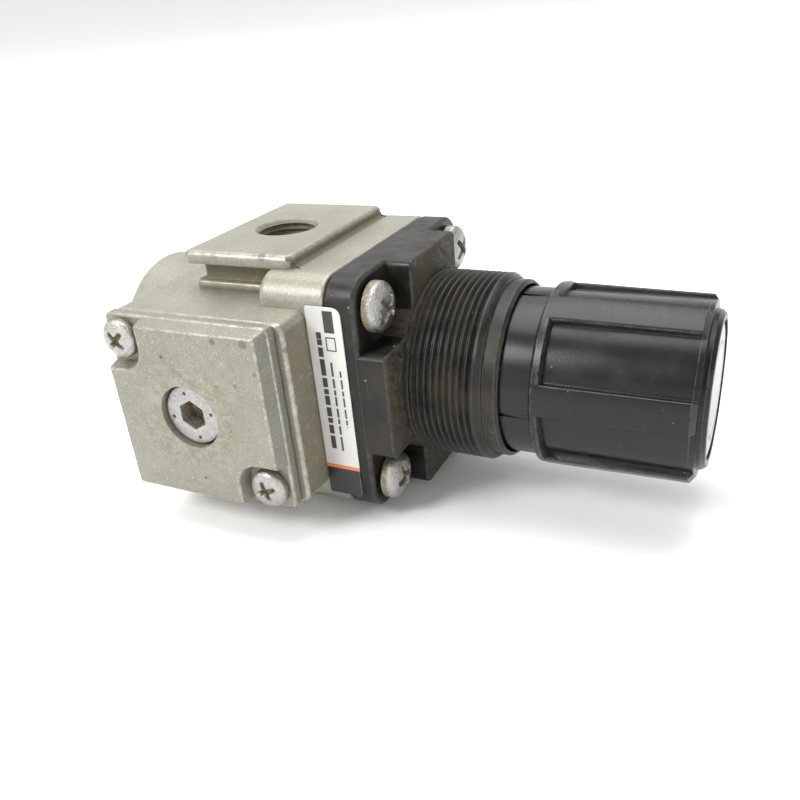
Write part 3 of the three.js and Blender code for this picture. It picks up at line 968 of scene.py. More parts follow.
@dataclass
class Casting:
    """The painted body: valve barrel, gauge boss, two port columns and the block at the joint."""

    port_z: float = 20.0
    flange: Pair = (9.5, 14.35)
    neck_x: Pair = (-7.9, 9.4)
    neck_y: float = 12.4
    barrel_r: float = 14.0
    boss_x: Pair = (-16.1, 13.2)
    boss_y: float = 23.85
    boss_z: float = 14.0
    square: float = 18.2
    corner: float = 4.0
    block_x: Pair = (5.6, 16.15)
    recess: tuple[Pair, ...] = ((16.15, 16.0), (14.0, 16.0), (14.0, 6.0), (13.0, 6.0))
    port_r: float = 4.4
    thread_pitch: float = 0.907
    finish: CastPaint = field(
        default_factory=lambda: CastPaint(
            "body_paint",
            chips=(
                Chip((4.6, -14.0, 19.7), 0.75),
                Chip((9.0, -14.0, 19.7), 0.6, (0.12, 0.1, 0.06)),
                Chip((-9.3, -13.9, 19.4), 0.8, (0.06, 0.065, 0.05)),
                Chip((-16.5, -12.0, 14.0), 1.1, (0.19, 0.19, 0.18), 0.5),
                Chip((13.2, -23.6, 10.4), 0.6),
                Chip((13.2, -23.7, 13.2), 1.0, (0.2, 0.2, 0.17), 0.5),
            ),
        )
    )

    def port_thread(self, z: float, angles: np.ndarray) -> np.ndarray:
        """The port wall's radius, which rises and falls once a pitch with height and angle."""
        turn = z / self.thread_pitch - angles / (2 * math.pi)
        return self.port_r + 0.5 * (0.5 - 0.5 * np.cos(2 * math.pi * turn))

    def port_column(self) -> Patch:
        """The upper port: undercut neck, flange, mouth and threaded bore, as one stack of loops."""
        half_x, half_y = self.flange
        flange = box_outline((-half_x, half_x), (-half_y, half_y), 1.1)
        neck = box_outline(self.neck_x, (-self.neck_y, self.neck_y), 1.2)
        foot = box_outline((-9.0, 9.4), (-13.4, 13.4), 1.2)
        angles = bearings([flange, neck, foot])
        ray = rays(angles)
        top = self.port_z
        # Height, outline, how far it is drawn in, wear, grime.
        sides = (
            (9.0, foot, 0.0, 0, 1),
            (14.2, foot, 0.0, 0, 0.7),
            (14.9, foot, 0.0, 0.6, 0),
            (15.1, foot, 0.15, 0.9, 0),
            (15.2, foot, 0.4, 0.3, 0.5),
            (15.25, neck, -0.2, 0, 1),
            (15.5, neck, 0.0, 0, 1),
            (17.3, neck, 0.0, 0, 1),
            (17.75, neck, -0.1, 0, 1),
            (18.0, neck, -0.5, 0, 1),
            (18.0, flange, 0.35, 0, 0.5),
            (18.1, flange, 0.1, 0.8, 0),
            (18.3, flange, 0.0, 0.7, 0),
            (19.2, flange, 0.0, 0.2, 0),
            (19.35, flange, 0.02, 0.8, 0),
            (19.7, flange, 0.2, 1, 0),
            (19.93, flange, 0.5, 1, 0),
            (top, flange, 0.75, 0.6, 0),
            (top, flange, 1.0, 0, 0),
        )
        levels = [
            (z, spokes(inset(outline, draw), angles), wear, grime)
            for z, outline, draw, wear, grime in sides
        ]
        # Height, radius, wear, grime.
        mouth = (
            (top, 5.35, 0, 0.1),
            (top, 5.12, 0.8, 0.3),
            (19.9, 5.0, 1, 0.3),
            (19.5, 4.75, 0, 0.6),
        )
        levels += [(z, ray * radius, wear, grime) for z, radius, wear, grime in mouth]
        levels += [
            (z, ray * self.port_thread(z, angles)[:, None], 0, 0.75)
            for z in np.arange(19.4, 10.9, -self.thread_pitch / 8)
        ]
        levels += [(10.6, ray * 4.3, 0, 1), (10.2, ray * 2.0, 0, 1)]
        made = stacked(Axis.Z, levels)
        # The flange's side towards the block is the stained one.
        x, _, z = made.points.T
        stained = (x > 9.2) & (z > 17.9) & (z < 19.6)
        made.wear = np.where(stained, 0.2 * made.wear, made.wear)
        made.grime = np.where(stained, 1.0, made.grime)
        return made

    def cove(self) -> Patch:
        """The hollow fillet between the flange's side and the block's top, a quarter circle."""
        share = np.linspace(0, math.pi / 2, 9)
        x = 9.3 + 1.5 * (1 - np.sin(share))
        z = 18.1 + 1.15 * (1 - np.cos(share))
        line = np.concatenate([[[9.2, 18.0]], np.stack([x, z], -1), [[9.2, 19.25]]])
        loops = set_on(Axis.Y, np.array([[13.6], [-13.6]]), line[:, ::-1])
        return skin(loops, np.zeros((2, 1)), np.ones((2, 1)))

    def barrel(self) -> Patch:
        """The valve barrel with the bore that its plug closes."""
        outside, bore, bore_end, inner_end = self.barrel_r, 10.5, -17.0, -13.0
        corners = (
            (bore_end, 0.0),
            (bore_end, bore),
            (REAR_X, bore),
            (REAR_X, outside),
            (inner_end, outside),
            (inner_end, 0.0),
        )
        # The line runs from the bore outwards, against the stack's usual way.
        return revolve(Axis.X, Profile(corners, (0, 0.1, 0.3, 0.9, 0.2, 0)), ROUND).flipped()

    def boss(self) -> Patch:
        """The boss that carries both gauge covers, from one to the other."""
        outline = box_outline((-self.boss_z, self.boss_z), self.boss_x, 1.3)
        end = self.boss_y
        profile = Profile(((-end, -1.2), (-end, 0.0), (end, 0.0), (end, -1.2)), (0, 0.5, 0.5, 0))
        made = slab(Axis.Y, outline, profile)
        # The wall beside the label is the dirty one.
        made.grime = np.where(made.points[:, 0] > self.boss_x[1] - 0.05, 0.6, made.grime)
        return made

    def block(self) -> Patch:
        """The square block at the joint with its diaphragm recess."""
        side = self.square
        outline = box_outline((-side, side), (-side, side), self.corner, steps=8)
        low, high = self.block_x
        profile = Profile(((low, -3.5), (low, 0.0), (high, 0.0), (high, -1.6)), (0, 0.9, 0.35, 0))
        line, wear, grime = profile.points()
        angles = bearings([outline])
        levels = [
            (x, spokes(inset(outline, -out), angles), worn, dirty)
            for (x, out), worn, dirty in zip(line, wear, grime)
        ]
        levels += [(x, rays(angles) * radius, 0, 1) for x, radius in self.recess]
        return stacked(Axis.X, levels)

    def build(self) -> None:
        """Builds and dresses the body."""
        column = self.port_column()
        cove = self.cove()
        patches = [self.barrel(), self.boss(), self.block()]
        patches += [column, column.half_turned(), cove, cove.half_turned()]
        piece("casting", patches, self.finish.build(), "housing", ["body"])


@dataclass
class CrossHeadScrew:
    """A pan-head screw with a cross recess, drawn along X with its crown at the high end.

    The base is where the head rests and the recess is how deep the cross goes. Shank is its radius.
    """

    base: float
    crown: float
    radius: float
    recess: float
    tip: float
    shank: float
    turn_deg: float
    arm_half: float = 0.155
    arm_reach: float = 0.6

    def dome(self) -> Patch:
        """The head: a dome over (radius, angle) with the cross sunk into it.

        The dome falls as an ellipse from the crown to the rim. The recess is as deep as its
        distance from the end of each arm allows, and has sloping walls.
        """
        rise = self.crown - self.base
        share = np.concatenate([np.linspace(0, 0.7, 22)[1:], np.linspace(0.7, 1.0, 10)[1:]])
        angles = np.linspace(0, 2 * math.pi, ROUND, endpoint=False)
        out = share[::-1][:, None] * np.ones(len(angles))
        drop = 1 - np.sqrt(np.clip(1 - (0.985 * out) ** 2.3, 0, 1))
        height = self.crown - rise * 0.62 * drop
        turn = angles + math.radians(self.turn_deg)
        u, v = out * np.cos(turn), out * np.sin(turn)
        arm = np.minimum(np.abs(u), np.abs(v))
        along = np.maximum(np.abs(u), np.abs(v))
        width = self.arm_half * (1 - 0.35 * along)
        walls = np.clip((width - arm) / 0.055, 0, 1)
        sunk = walls * np.clip((self.arm_reach - along) / 0.22, 0, 1)
        sunk = np.maximum(sunk, np.clip((0.24 - np.hypot(u, v)) / 0.12, 0, 1))
        height = height - self.recess * sunk
        ray = rays(angles)
        under = (
            (self.tip, self.shank * 0.7),
            (self.tip + 0.4, self.shank),
            (self.base, self.shank),
            (self.base, self.radius * 0.94),
            (self.base + 0.12, self.radius),
            (self.base + 0.3 * rise, self.radius),
        )
        levels = [(x, ray * radius, 0, 0.6) for x, radius in under]
        top = ray * (self.radius * out)[..., None]
        levels += list(zip(height, top, 0.3 * np.clip(1 - 2 * sunk, 0, 1), sunk))
        return stacked(Axis.X, levels)


@dataclass
class GaugeSide:
    """One gauge side: the cover plate, its plug with seal, and two screws in corner notches."""

    side: Side
    back_y: float = 24.05
    front_y: float = 27.9
    x: Pair = (-16.1, 12.0)
    half_z: float = 14.1
    bevel_start_y: float = 25.0
    notch_y: float = 25.7
    notch_r: float = 3.5
    screws: tuple[Pair, ...] = ((-13.15, 10.6), (8.45, -10.6))
    plug_x: float = -2.35
    plug_r: float = 4.6
    plug_face_y: float = 27.2
    hex_flat: float = 4.0
    seat_y: float = -21.9
    shank_r: float = 2.7
    shank_end_y: float = -13.0

    def face_outline(self) -> np.ndarray:
        """The raised face in (z, x), with a scallop at each screwed corner."""
        n = self.notch_r
        (ax, az), (bx, bz) = self.screws
        low_x, high_x = self.x
        z = self.half_z
        # Anticlockwise in (z, x): +z is the first axis and +x the second.
        corners = [
            (z, ax + n),
            (z, high_x),
            (bz + n, high_x),
            (bz + n, bx - n),
            (-z, bx - n),
            (-z, low_x),
            (az - n, low_x),
            (az - n, ax + n),
        ]
        radii = (0.8, 1.0, 0.7, n, 0.7, 1.0, 0.7, n)
        return rounded(corners, radii, closed=True, steps=7)[0]

    def plate(self) -> list[Patch]:
        """The cover: a base plate under a raised face, both with a round hole for the plug."""
        centre = (0.0, self.plug_x)
        hole = self.plug_r + 0.3
        base = box_outline((-self.half_z, self.half_z), self.x, 1.0)
        low, high = -self.front_y, -self.back_y
        notch, start = -self.notch_y, -self.bevel_start_y
        base_profile = Profile(
            ((notch, -0.9), (notch, 0.0), (high, 0.0), (high, -0.9)), (0, 0.35, 0.2, 0)
        )
        # The face is drawn in a little, so that its sides and the base plate's never coincide.
        end, draw = start + 0.3, -0.02
        face_profile = Profile(
            ((low, -1.3), (low, -0.75), (start - 0.05, draw), (end, draw), (end, -0.6)),
            (0, 0.45, 0.6, 0, 0),
        )
        return [
            slab(Axis.Y, base, base_profile, hole, centre),
            slab(Axis.Y, self.face_outline(), face_profile, hole, centre),
        ]

    def plug(self) -> Patch:
        """The plug: its shank, its head, and the hexagon socket in its face."""
        corners = rays(np.arange(6) * math.pi / 3) * (self.hex_flat / math.sqrt(3))
        hexagon = rounded(corners, 0.12, closed=True, steps=2)[0]
        angles = bearings([hexagon])
        ray = rays(angles)
        face, radius = -self.plug_face_y, self.plug_r
        # Depth behind the face, how far the hexagon is drawn in, wear, grime.
        socket = (
            (3.0, 1.0, 0, 1),
            (2.6, 0.1, 0, 1),
            (0.3, 0, 0, 0.7),
            (0.05, -0.05, 0.6, 0.2),
            (0, -0.2, 0.4, 0),
        )
        levels = [
            (face + depth, spokes(inset(hexagon, draw), angles), wear, grime)
            for depth, draw, wear, grime in socket
        ]
        # Place, radius, wear, grime.
        head = (
            (face, radius - 0.6, 0, 0),
            (face, radius - 0.35, 0.5, 0),
            (face + 0.1, radius - 0.1, 0.8, 0),
            (face + 0.35, radius, 0.3, 0.4),
            (self.seat_y, radius, 0, 1),
            (self.seat_y, self.shank_r, 0, 1),
            (self.shank_end_y, self.shank_r, 0, 1),
        )
        levels += [(y, ray * out, wear, grime) for y, out, wear, grime in head]
        return stacked(Axis.Y, levels).moved(x=self.plug_x)

    def build(
        self, paint: bpy.types.Material, metal: bpy.types.Material, zinc: bpy.types.Material
    ) -> None:
        """Builds and dresses this side.

        Args:
            paint: the cover's finish: the body's paint made darker, as painted shade on the cover's
                front.
            metal: the plug's finish.
            zinc: the screws' finish.
        """
        suffix = self.side.value
        plate = [self.side.turn(patch) for patch in self.plate()]
        piece(f"cover_{suffix}", plate, paint, "housing", [f"gauge_cover_{suffix}"])
        plug = self.side.turn(self.plug())
        piece(f"plug_{suffix}", [plug], metal, "housing", [f"gauge_plug_{suffix}"])
        for number, (x, z) in enumerate(self.screws, 1):
            turn = 20.0 + 25 * number
            head = CrossHeadScrew(
                base=25.9, crown=27.75, radius=2.9, recess=0.8, tip=17.6, shank=1.1, turn_deg=turn
            )
            patch = head.dome().turned(Matrix.Rotation(-math.pi / 2, 3, "Z")).moved(x=x, z=z)
            name, node = (f"cover_{word}_{suffix}_{number}" for word in ("bolt", "screw"))
            piece(name, [self.side.turn(patch)], zinc, "housing", [node])


@dataclass
class Bonnet:
    """The black bonnet: square flange, raised cross, panel thread, end ring, screws and label."""

    back_x: float = 16.45
    pocket_x: float = 20.9
    raised_x: float = 24.9
    square: float = 18.2
    corner: float = 4.0
    arm: float = 8.0
    bore_r: float = 11.0
    thread_r: float = 14.0
    thread_x: Pair = (25.4, 35.3)
    pitch: float = 1.0
    thread_depth: float = 0.58
    end_x: float = 38.5
    screw_offset: float = 13.5
    finish: MouldedPlastic = field(
        default_factory=lambda: MouldedPlastic(
            "bonnet_plastic", dust=(0.09, 0.072, 0.045), dust_share=0.85, fluff_share=0.35
        )
    )

    def plates(self) -> list[Patch]:
        """The square flange and the raised cross, each with a round hole."""
        side = self.square
        outline = box_outline((-side, side), (-side, side), self.corner, steps=8)
        back, front = self.back_x, self.pocket_x
        flange = Profile(
            ((back, -3.0), (back, 0.0), (front, 0.0), (front, -3.0)), (0, 0.3, 0.55, 0)
        )
        # The cross is drawn in a little, so that its ends and the flange's sides never coincide.
        low, high, draw = front - 2.5, self.raised_x, -0.02
        raised = Profile(((low, -0.9), (low, draw), (high, draw), (high, -0.9)), (0, 0.1, 0.6, 0))
        cross = slab(Axis.X, self.cross_outline(), raised, self.bore_r + 1.3)
        # Dust lies on its flat face.
        cross.grime = np.where(cross.points[:, 0] > high - 0.03, 0.75, cross.grime)
        return [slab(Axis.X, outline, flange, self.bore_r), cross]

    def cross_outline(self) -> np.ndarray:
        """The plus-shaped outline; its inner corners are rounded inside the tower's wall."""
        a, s, inner, outer = self.arm, self.square, 4.6, 1.1
        corners = [(s, -a), (s, a), (a, a), (a, s), (-a, s), (-a, a)]
        corners += [(-y, -z) for y, z in corners]
        radii = (outer, outer, inner, outer, outer, inner) * 2
        return rounded(corners, radii, closed=True, steps=5)[0]

    def thread(self, along: np.ndarray, angle: np.ndarray, radius: np.ndarray) -> np.ndarray:
        """The panel thread: a rounded wave of one pitch that fades out at both ends."""
        turn = along / self.pitch + angle / (2 * math.pi)
        wave = np.abs(np.mod(turn, 1.0) - 0.5) * 2
        depth = self.thread_depth * np.clip(1.35 * wave - 0.2, 0, 1)
        low, high = self.thread_x
        fade = np.clip((along - low) / 0.5, 0, 1) * np.clip((high - along) / 0.7, 0, 1)
        on_thread = (radius > self.thread_r - 0.05) & (along >= low) & (along <= high)
        return np.where(on_thread, radius - depth * fade, radius)

    def tower(self) -> Patch:
        """The threaded tower, hollow, with its end ring and the lip round the knob's neck."""
        low, high = self.thread_x
        r = self.thread_r
        thread_x = np.arange(low, high, self.pitch / 12)
        plain = np.zeros(len(thread_x))
        head = Profile(
            (
                (self.pocket_x - 1, self.bore_r),
                (self.pocket_x - 1, r - 0.1),
                (self.raised_x, r - 0.1),
                (self.raised_x + 0.1, r),
            ),
            0.05,
        )
        tail = Profile(
            (
                (high + 0.1, r),
                (36.2, r - 0.6),
                (36.3, r - 0.95),
                (38.0, r - 0.85),
                (self.end_x, r - 1.15),
                (self.end_x, 12.5),
                (33.9, 12.5),
                (33.9, 5.0),
                (32.7, 5.0),
                (32.7, self.bore_r),
            ),
            (0, 0.25, 0.12, 0.35, 0.2, 0.1, 0.1, 0.1, 0.1, 0),
        )
        front, front_wear, front_grime = head.points()
        back, back_wear, back_grime = tail.points()
        line = np.concatenate([front, np.stack([thread_x, plain + r], -1), back])
        wear = np.concatenate([front_wear, plain, back_wear])
        grime = np.concatenate([front_grime + 0.6, plain, back_grime])
        angles = np.linspace(0, 2 * math.pi, 144, endpoint=False)
        along = line[:, :1] + 0 * angles
        radii = self.thread(along, angles, line[:, 1:] + 0 * angles)
        # The bore has two keyways on the level plane, for the nut.
        keyed = np.abs(np.sin(angles)) < 0.165
        in_bore = (np.abs(radii - self.bore_r) < 0.3) & (along < 32.75) & keyed
        radii = np.where(in_bore, self.bore_r + 1.25, radii)
        sunk = np.clip((self.thread_r - radii) / self.thread_depth, 0, 1)
        threaded = (along >= low) & (along <= high)
        wear = np.where(threaded, 0.35 * np.clip(1 - 3 * sunk, 0, 1), wear[:, None])
        # The dirt thins out from the thread's root towards the knob.
        near = np.clip((28.5 - along) / 3.5, 0.25, 1)
        grime = np.where(threaded, sunk * near, np.clip(grime, 0, 1)[:, None])
        return skin(set_on(Axis.X, along, rays(angles) * radii[..., None]), wear, grime, ring=True)

    def build(self, zinc: bpy.types.Material) -> None:
        """Builds and dresses the bonnet and its screws.

        Args:
            zinc: the screws' finish.
        """
        patches = self.plates() + [self.tower()]
        piece("bonnet_shell", patches, self.finish.build(), "housing", ["bonnet"])
        offset = self.screw_offset
        for number, (y, z) in enumerate(((-1, 1), (-1, -1), (1, -1), (1, 1)), 1):
            turn = 12.0 + 31 * number
            head = CrossHeadScrew(
                base=21.25, crown=23.95, radius=3.55, recess=1.0, tip=8.5, shank=1.4, turn_deg=turn
            )
            patch = head.dome().moved(y=y * offset, z=z * offset)
            name, node = (f"bonnet_{word}_{number}" for word in ("bolt", "screw"))
            piece(name, [patch], zinc, "housing", [node])

    def label(self) -> None:
        """Builds the printed plate across the joint."""
        low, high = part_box("label")
        left, right = ((v - DATUM.origin[0]) * MM_IN_M for v in (low.x, high.x))
        bottom, top = ((v - DATUM.origin[2]) * MM_IN_M for v in (low.z, high.z))
        corners = [(top, left), (top, right), (bottom, right), (bottom, left)]
        outline = rounded(corners, (0.3, 1.2, 0.6, 0.3), closed=True)[0]
        face, back = -self.square - 0.22, -self.square - 0.06
        edge = ((face, -0.2), (face, 0.0), (back, 0.0), (back, -0.2))
        patch = slab(Axis.Y, outline, Profile(edge, (0, 0.05, 0.03, 0)))
        finish = PrintedPlate("label_print", left)
        piece("label_plate", [patch], finish.build(), "housing", ["label"])


@dataclass
class LockKnob:
    """The turning knob: neck, ribbed grip, front ring and end disc."""

    sleeve_x: float = 37.0
    neck_r: float = 12.2
    flare_x: Pair = (42.6, 43.1)
    grip_r: Pair = (13.22, 12.95)
    groove_r: float = 12.0
    groove_x: float = 44.3
    land_end_x: float = 63.3
    front_x: float = 65.2
    lands: int = 6
    land_half_deg: float = 10.0
    first_land_deg: float = 7.7
    slot_deg: float = -6.5
    # Degrees past a land's edge, and the share of the land's height that stands there.
    flank: tuple[Pair, ...] = (
        (-1.3, 1), (-0.7, 0.96), (-0.35, 0.86), (0.2, 0.22), (0.6, 0.05), (1.6, 0)
    )
    # The knob's strong edge share brightens its painted highlight lines.
    finish: MouldedPlastic = field(
        default_factory=lambda: MouldedPlastic(
            "knob_plastic", dust_share=0.12, edge_share=0.8, specular=0.32, roughness=0.25
        )
    )

    def land_share(self, angle: np.ndarray) -> np.ndarray:
        """How much of a land's height stands at an angle, from -Y towards +Z, in degrees."""
        period = 360 / self.lands
        off = np.abs(np.mod(angle - self.first_land_deg + period / 2, period) - period / 2)
        places, shares = np.array(self.flank).T
        return np.interp(off, self.land_half_deg + places, shares)

    def columns(self) -> np.ndarray:
        """Angles from -Y towards +Z, in degrees, close together at each land's two edges."""
        half = self.land_half_deg
        near = np.array([-1.3, -1.0, -0.7, -0.5, -0.35, -0.1, 0.2, 0.4, 0.6, 1.0, 1.6])
        edge = np.concatenate([half + near, -half - near])
        period = 360 / self.lands
        middles = self.first_land_deg + period * np.arange(self.lands)
        marked = (middles[:, None] + edge).ravel()
        slots = self.slot_deg + 90 * np.arange(4)
        cuts = (slots[:, None] + np.array([-1.5, -1.2, 0, 1.2, 1.5])).ravel()
        even = np.arange(0, 360, 2.5)
        found = np.sort(np.mod(np.concatenate([marked, cuts, even]), 360))
        return found[np.append(True, np.diff(found) > 0.04)]

    def shell(self) -> Patch:
        """The whole knob as one ring of loops: each point's radius depends on place and angle."""
        start, end = self.flare_x
        high, low = self.grip_r
        g, land_end = self.groove_x, self.land_end_x
        corners = [
            (self.sleeve_x, 10.7),
            (self.sleeve_x, self.neck_r),
            (start, self.neck_r),
            (start + 0.15, 12.6),
            (end, high - 0.05),
            (g - 0.25, high),
            (g + 0.15, high),
            (46.0, high),
            (50.0, high - 0.07),
            (57.0, high - 0.18),
            (land_end, low),
            (63.95, self.groove_r + 0.02),
            (64.0, 11.0),
            (64.6, 10.9),
            (self.front_x, 10.45),
            (self.front_x, 9.6),
            (63.9, 9.6),
            (63.9, 5.6),
            (57.7, 5.6),
            (57.7, 4.3),
            (44.0, 4.3),
            (44.0, 6.6),
            (61.0, 6.6),
            (61.0, 10.7),
        ]
        radii = (0.1, 0.15, 0.1, 0.08, 0.3, 0, 0, 0, 0, 0, 0.12, 0.1, 0.1, 0.2, 0.25) + (0.1,) * 9
        line, wear, grime = Profile(tuple(corners), radii, closed=True).points()
        angles = self.columns()
        along = line[:, :1] + 0 * angles
        radius = line[:, 1:] + 0 * angles
        share = self.land_share(angles) + 0 * along
        sunk = np.clip((along - (g - 0.25)) / 0.4, 0, 1)
        outer = (radius > self.groove_r) & (along > g - 0.3) & (along < 63.97)
        grooved = radius - (radius - self.groove_r) * (1 - share) * sunk
        radius = np.where(outer, grooved, radius)
        off_slot = np.abs(np.mod(angles - self.slot_deg + 45, 90) - 45)
        in_slot = (off_slot < 1.3) & (along < 42.45) & (line[:, 1:] > 12)
        radius = np.where(in_slot, radius - 0.45, radius)
        # Painted highlights: `edge` is a light line along each land's rim, and the next mask a
        # light line along the groove's back step; both go into the edge attribute.
        edge = np.exp(-(((share - 0.88) / 0.05) ** 2)) * outer * (along > g)
        step_highlight = np.exp(-(((along - g + 0.25) / 0.18) ** 2)) * (share < 0.5)
        foot = np.exp(-(((share - 0.08) / 0.05) ** 2)) * outer
        wear = np.clip(wear[:, None] * 0.9 + edge + 0.8 * step_highlight, 0, 1)
        grime = np.clip(grime[:, None] + 0.8 * foot + in_slot, 0, 1)
        turn = np.radians(angles)
        # From -Y towards +Z: the first axis is -cos and the second is sin, so columns run back.
        flat = np.stack([-radius * np.cos(turn), radius * np.sin(turn)], -1)
        loops = set_on(Axis.X, along, flat)
        return skin(loops[:, ::-1], wear[:, ::-1], grime[:, ::-1], ring=True)

    def disc(self) -> Patch:
        """The end disc, very slightly domed."""
        corners = ((64.2, 0.0), (64.2, 9.3), (64.9, 9.3), (65.0, 8.6), (65.02, 4.0), (65.03, 0.0))
        return revolve(Axis.X, Profile(corners, (0, 0.1, 0.15, 0.1, 0, 0)), ROUND)

    def build(self) -> None:
        """Builds and dresses the knob."""
        piece("knob_grip", [self.shell()], self.finish.build(), "knob", ["knob"], 30.0)
        face = DialFace("knob_face")
        piece("knob_cap", [self.disc()], face.build(), "knob", ["knob_end_disc"])


@dataclass(frozen=True)
class Spring:
    """A coil spring, wound between the two ends of its span."""

    node: str
    radius: float
    wire: float
    span: Pair
    turns: float
    joint: str
    travel: float

    def wound(self) -> Patch:
        """The wire: a circle carried along a helix whose ends lie in the span."""
        angles = np.linspace(0, 2 * math.pi * self.turns, int(self.turns * 32))
        share = angles / angles[-1]
        low, high = self.span[0] + self.wire, self.span[1] - self.wire
        round_angles = np.linspace(0, 2 * math.pi, 16, endpoint=False)
        along = (low + (high - low) * share)[:, None] + self.wire * np.cos(round_angles)
        radius = self.radius + self.wire * np.sin(round_angles)
        flat = rays(angles)[:, None] * radius[:, None]
        return skin(set_on(Axis.X, along, flat), np.full((1, 1), 0.2), np.zeros((1, 1)))

    def build(self, steel: bpy.types.Material) -> None:
        """Builds the spring and gives it a mesh of its own."""
        made = piece(f"{self.node}_coil", [self.wound()], steel, "housing", [self.node])
        low, high = self.span
        anchor = DATUM.place(np.array([low, 0.0, 0.0]))
        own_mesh(made)


@dataclass
class InnerParts:
    """The pieces that are out of sight keep their CAD shapes and get real finishes."""

    springs: tuple[Spring, ...] = (
        Spring("valve_spring", 3.6, 0.4, (-17.0, -5.8), 6, "valve_slide", 0.8),
        Spring("adjusting_spring", 7.5, 0.7, (18.05, 27.1), 2.5, "nut_slide", 4.0),
    )

    brass: PlatedMetal = PlatedMetal(
        "turned_brass", (0.4, 0.29, 0.13), (0.12, 0.08, 0.03), roughness=0.38, tarnish=0.9
    )
    steel: PlatedMetal = PlatedMetal(
        "plain_steel", (0.42, 0.42, 0.41), (0.1, 0.08, 0.05), roughness=0.35, tarnish=0.4
    )
    rubber: SoftRubber = SoftRubber("black_rubber")
    shown_as: dict[str, str] = field(
        default_factory=lambda: {
            "valve_guide": "brass",
            "valve_guide_ring": "rubber",
            "gauge_seal_front": "rubber",
            "gauge_seal_rear": "rubber",
            "thrust_washer": "steel",
            "diaphragm": "rubber",
            "diaphragm_plate": "steel",
            "relief_seat": "brass",
            "valve": "brass",
            "valve_seat_disc": "rubber",
            "adjusting_nut": "brass",
            "adjusting_screw": "steel",
            "knob_retaining_screw": "steel",
        }
    )

    def build(self) -> None:
        """Gives each kept CAD node its finish."""
        made = {name: getattr(self, name).build() for name in ("brass", "steel", "rubber")}
        for node, finish in self.shown_as.items():
            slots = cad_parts[node].data.materials
            slots.clear()
            slots.append(made[finish])
            log.info("%s: %s", node, finish)
        for spring in self.springs:
            spring.build(made["steel"])


# Stage -----------------------------------------------------------------------------------------


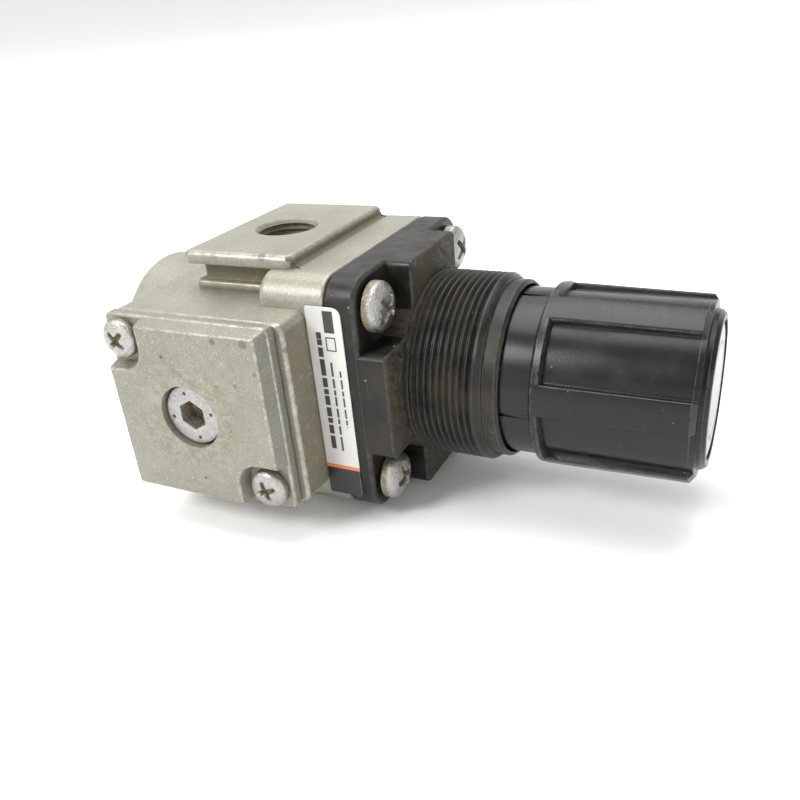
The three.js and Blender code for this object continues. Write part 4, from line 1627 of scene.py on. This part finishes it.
@dataclass
class Studio:
    """The pale floor, the soft lights and the camera."""

    eye: Triple = (71.98, -103.70, 51.58)
    azimuth_deg: float = 27.963
    elevation_deg: float = 27.058
    roll_deg: float = -5.562
    lens: float = 36.08
    sensor: float = 36.0
    flat_r: float = 2500.0
    rim_r: float = 3200.0
    rim_rise: float = 1200.0
    room: float = 0.42

    def camera(self) -> None:
        """Sets the camera: it looks along its azimuth and down by its elevation, then rolls."""
        degrees = (self.azimuth_deg, self.elevation_deg, self.roll_deg)
        az, el, roll = (math.radians(angle) for angle in degrees)
        ahead = Vector((-math.sin(az) * math.cos(el), math.cos(az) * math.cos(el), -math.sin(el)))
        right = Vector((math.cos(az), math.sin(az), 0))
        up = right.cross(ahead)
        right_rolled = right * math.cos(roll) + up * math.sin(roll)
        up_rolled = up * math.cos(roll) - right * math.sin(roll)
        data = bpy.data.cameras.new("camera")
        data.lens = self.lens
        data.sensor_width = self.sensor
        data.clip_start = 0.005
        data.clip_end = 20
        made = put_in_scene("camera", data)
        turn = Matrix((right_rolled, up_rolled, -ahead)).transposed().to_4x4()
        made.matrix_world = Matrix.Translation(Vector(DATUM.place(np.array(self.eye)))) @ turn
        bpy.context.scene.camera = made

    def floor(self) -> None:
        """Lays a pale floor at the object's lowest point, which curves up far away all round."""
        level = CAD_BOX[0].z * MM_IN_M - 0.02
        rim, skirt, edge = level + self.rim_rise, level - 50, self.rim_r + 100
        corners = (
            (level, 0.0),
            (level, self.flat_r),
            (rim, self.rim_r),
            (rim, edge),
            (skirt, edge),
            (skirt, 0.0),
        )
        bowl = revolve(Axis.Z, Profile(corners, (0, 500, 0, 0, 0, 0), steps=12), ROUND).flipped()
        board = Board("floor_paper")
        tone = board.noise(0.01, 3.0)
        board.relief(board.noise(1.5, 3.0), 0.02)
        rise = board.part(Axis.Z).step(60.0, 700.0)
        paper = board.set(
            base_color=board.blend(tone * 0.3, (0.95, 0.95, 0.95), (0.93, 0.93, 0.93)),
            emission_color=board.blend(rise, (0.0, 0.0, 0.0), (0.5, 0.5, 0.5)),
            emission_strength=1.0,
            roughness=0.75,
        )
        made = put_in_scene("floor", smooth_mesh("floor", bowl.points / MM_IN_M, bowl.faces, paper))

    def light(self, name: str, place: Triple, size: float, watts: float) -> None:
        """Hangs a square soft light that faces the object.

        Args:
            name: the light's name.
            place: where it hangs, in metres.
            size: its side, in metres.
            watts: its power.
        """
        data = bpy.data.lights.new(name, "AREA")
        data.size = size
        data.energy = watts
        made = put_in_scene(name, data)
        made.location = place
        aim = Vector((0, 0, 0.02)) - Vector(place)
        made.rotation_euler = aim.to_track_quat("-Z", "Y").to_euler()

    def sky_glow(self, strength: float, spread_deg: float, heading: Vector) -> None:
        """Lights everything evenly from a wide patch of sky, so that the far floor is as pale.

        Args:
            strength: its irradiance, in watts a square metre.
            spread_deg: the patch's width.
            heading: the way that its light goes.
        """
        data = bpy.data.lights.new("sky_glow", "SUN")
        data.energy = strength
        data.angle = math.radians(spread_deg)
        made = put_in_scene("sky_glow", data)
        made.rotation_euler = heading.to_track_quat("-Z", "Y").to_euler()

    def build(self) -> None:
        """Sets up the whole stage."""
        self.camera()
        self.floor()
        self.light("overhead", (-0.08, 0.1, 0.62), size=0.45, watts=2.2)
        self.light("front_left", (-0.36, -0.52, 0.55), size=0.26, watts=5.0)
        self.light("right_fill", (0.55, -0.3, 0.3), size=0.35, watts=0.5)
        self.sky_glow(strength=1.8, spread_deg=70.0, heading=Vector((0.25, -0.35, -1.0)))
        world = bpy.data.worlds.new("soft_room")
        world.use_nodes = True
        backdrop = world.node_tree.nodes["Background"]
        backdrop.inputs[0].default_value = (1, 1, 1, 1)
        backdrop.inputs[1].default_value = self.room
        bpy.context.scene.world = world
        bpy.context.scene.view_settings.view_transform = "Standard"


def main() -> None:
    """Builds the stage and every sub-assembly in order."""
    logging.basicConfig(level=logging.INFO, format="%(name)s %(message)s")
    Studio().build()
    nicks = (
        Chip((-4.9, -27.9, 9.2), 0.35, (0.04, 0.04, 0.04)),
        Chip((4.7, -27.9, 12.5), 0.5, (0.08, 0.075, 0.05)),
        Chip((-1.8, -27.9, -10.0), 0.3, (0.06, 0.05, 0.03)),
        Chip((9.6, -27.6, 12.6), 0.8, (0.1, 0.095, 0.07)),
        Chip((10.6, -27.7, 8.4), 0.45, (0.1, 0.095, 0.07)),
        Chip((7.0, -27.9, 6.2), 0.4, (0.12, 0.11, 0.09)),
    )
    # Painted shade: the cover gets the body's paint made darker, about 0.85 as bright, so that its
    # front looks shaded.
    paint = CastPaint(
        "cover_paint_shaded", (0.25, 0.244, 0.2), (0.185, 0.18, 0.143), stain_reach=0.9, chips=nicks
    ).build()
    plug = PunchedPlate("plug_plate", (0.4, 0.395, 0.385), roughness=0.45, tarnish=0.9).build()
    zinc = PlatedMetal("screw_zinc", (0.38, 0.37, 0.35), roughness=0.33, tarnish=1.2).build()
    Casting().build()
    for side in Side:
        GaugeSide(side).build(paint, plug, zinc)
    bonnet = Bonnet()
    bonnet.build(zinc)
    bonnet.label()
    LockKnob().build()
    InnerParts().build()


if __name__ == "__main__":
    main()
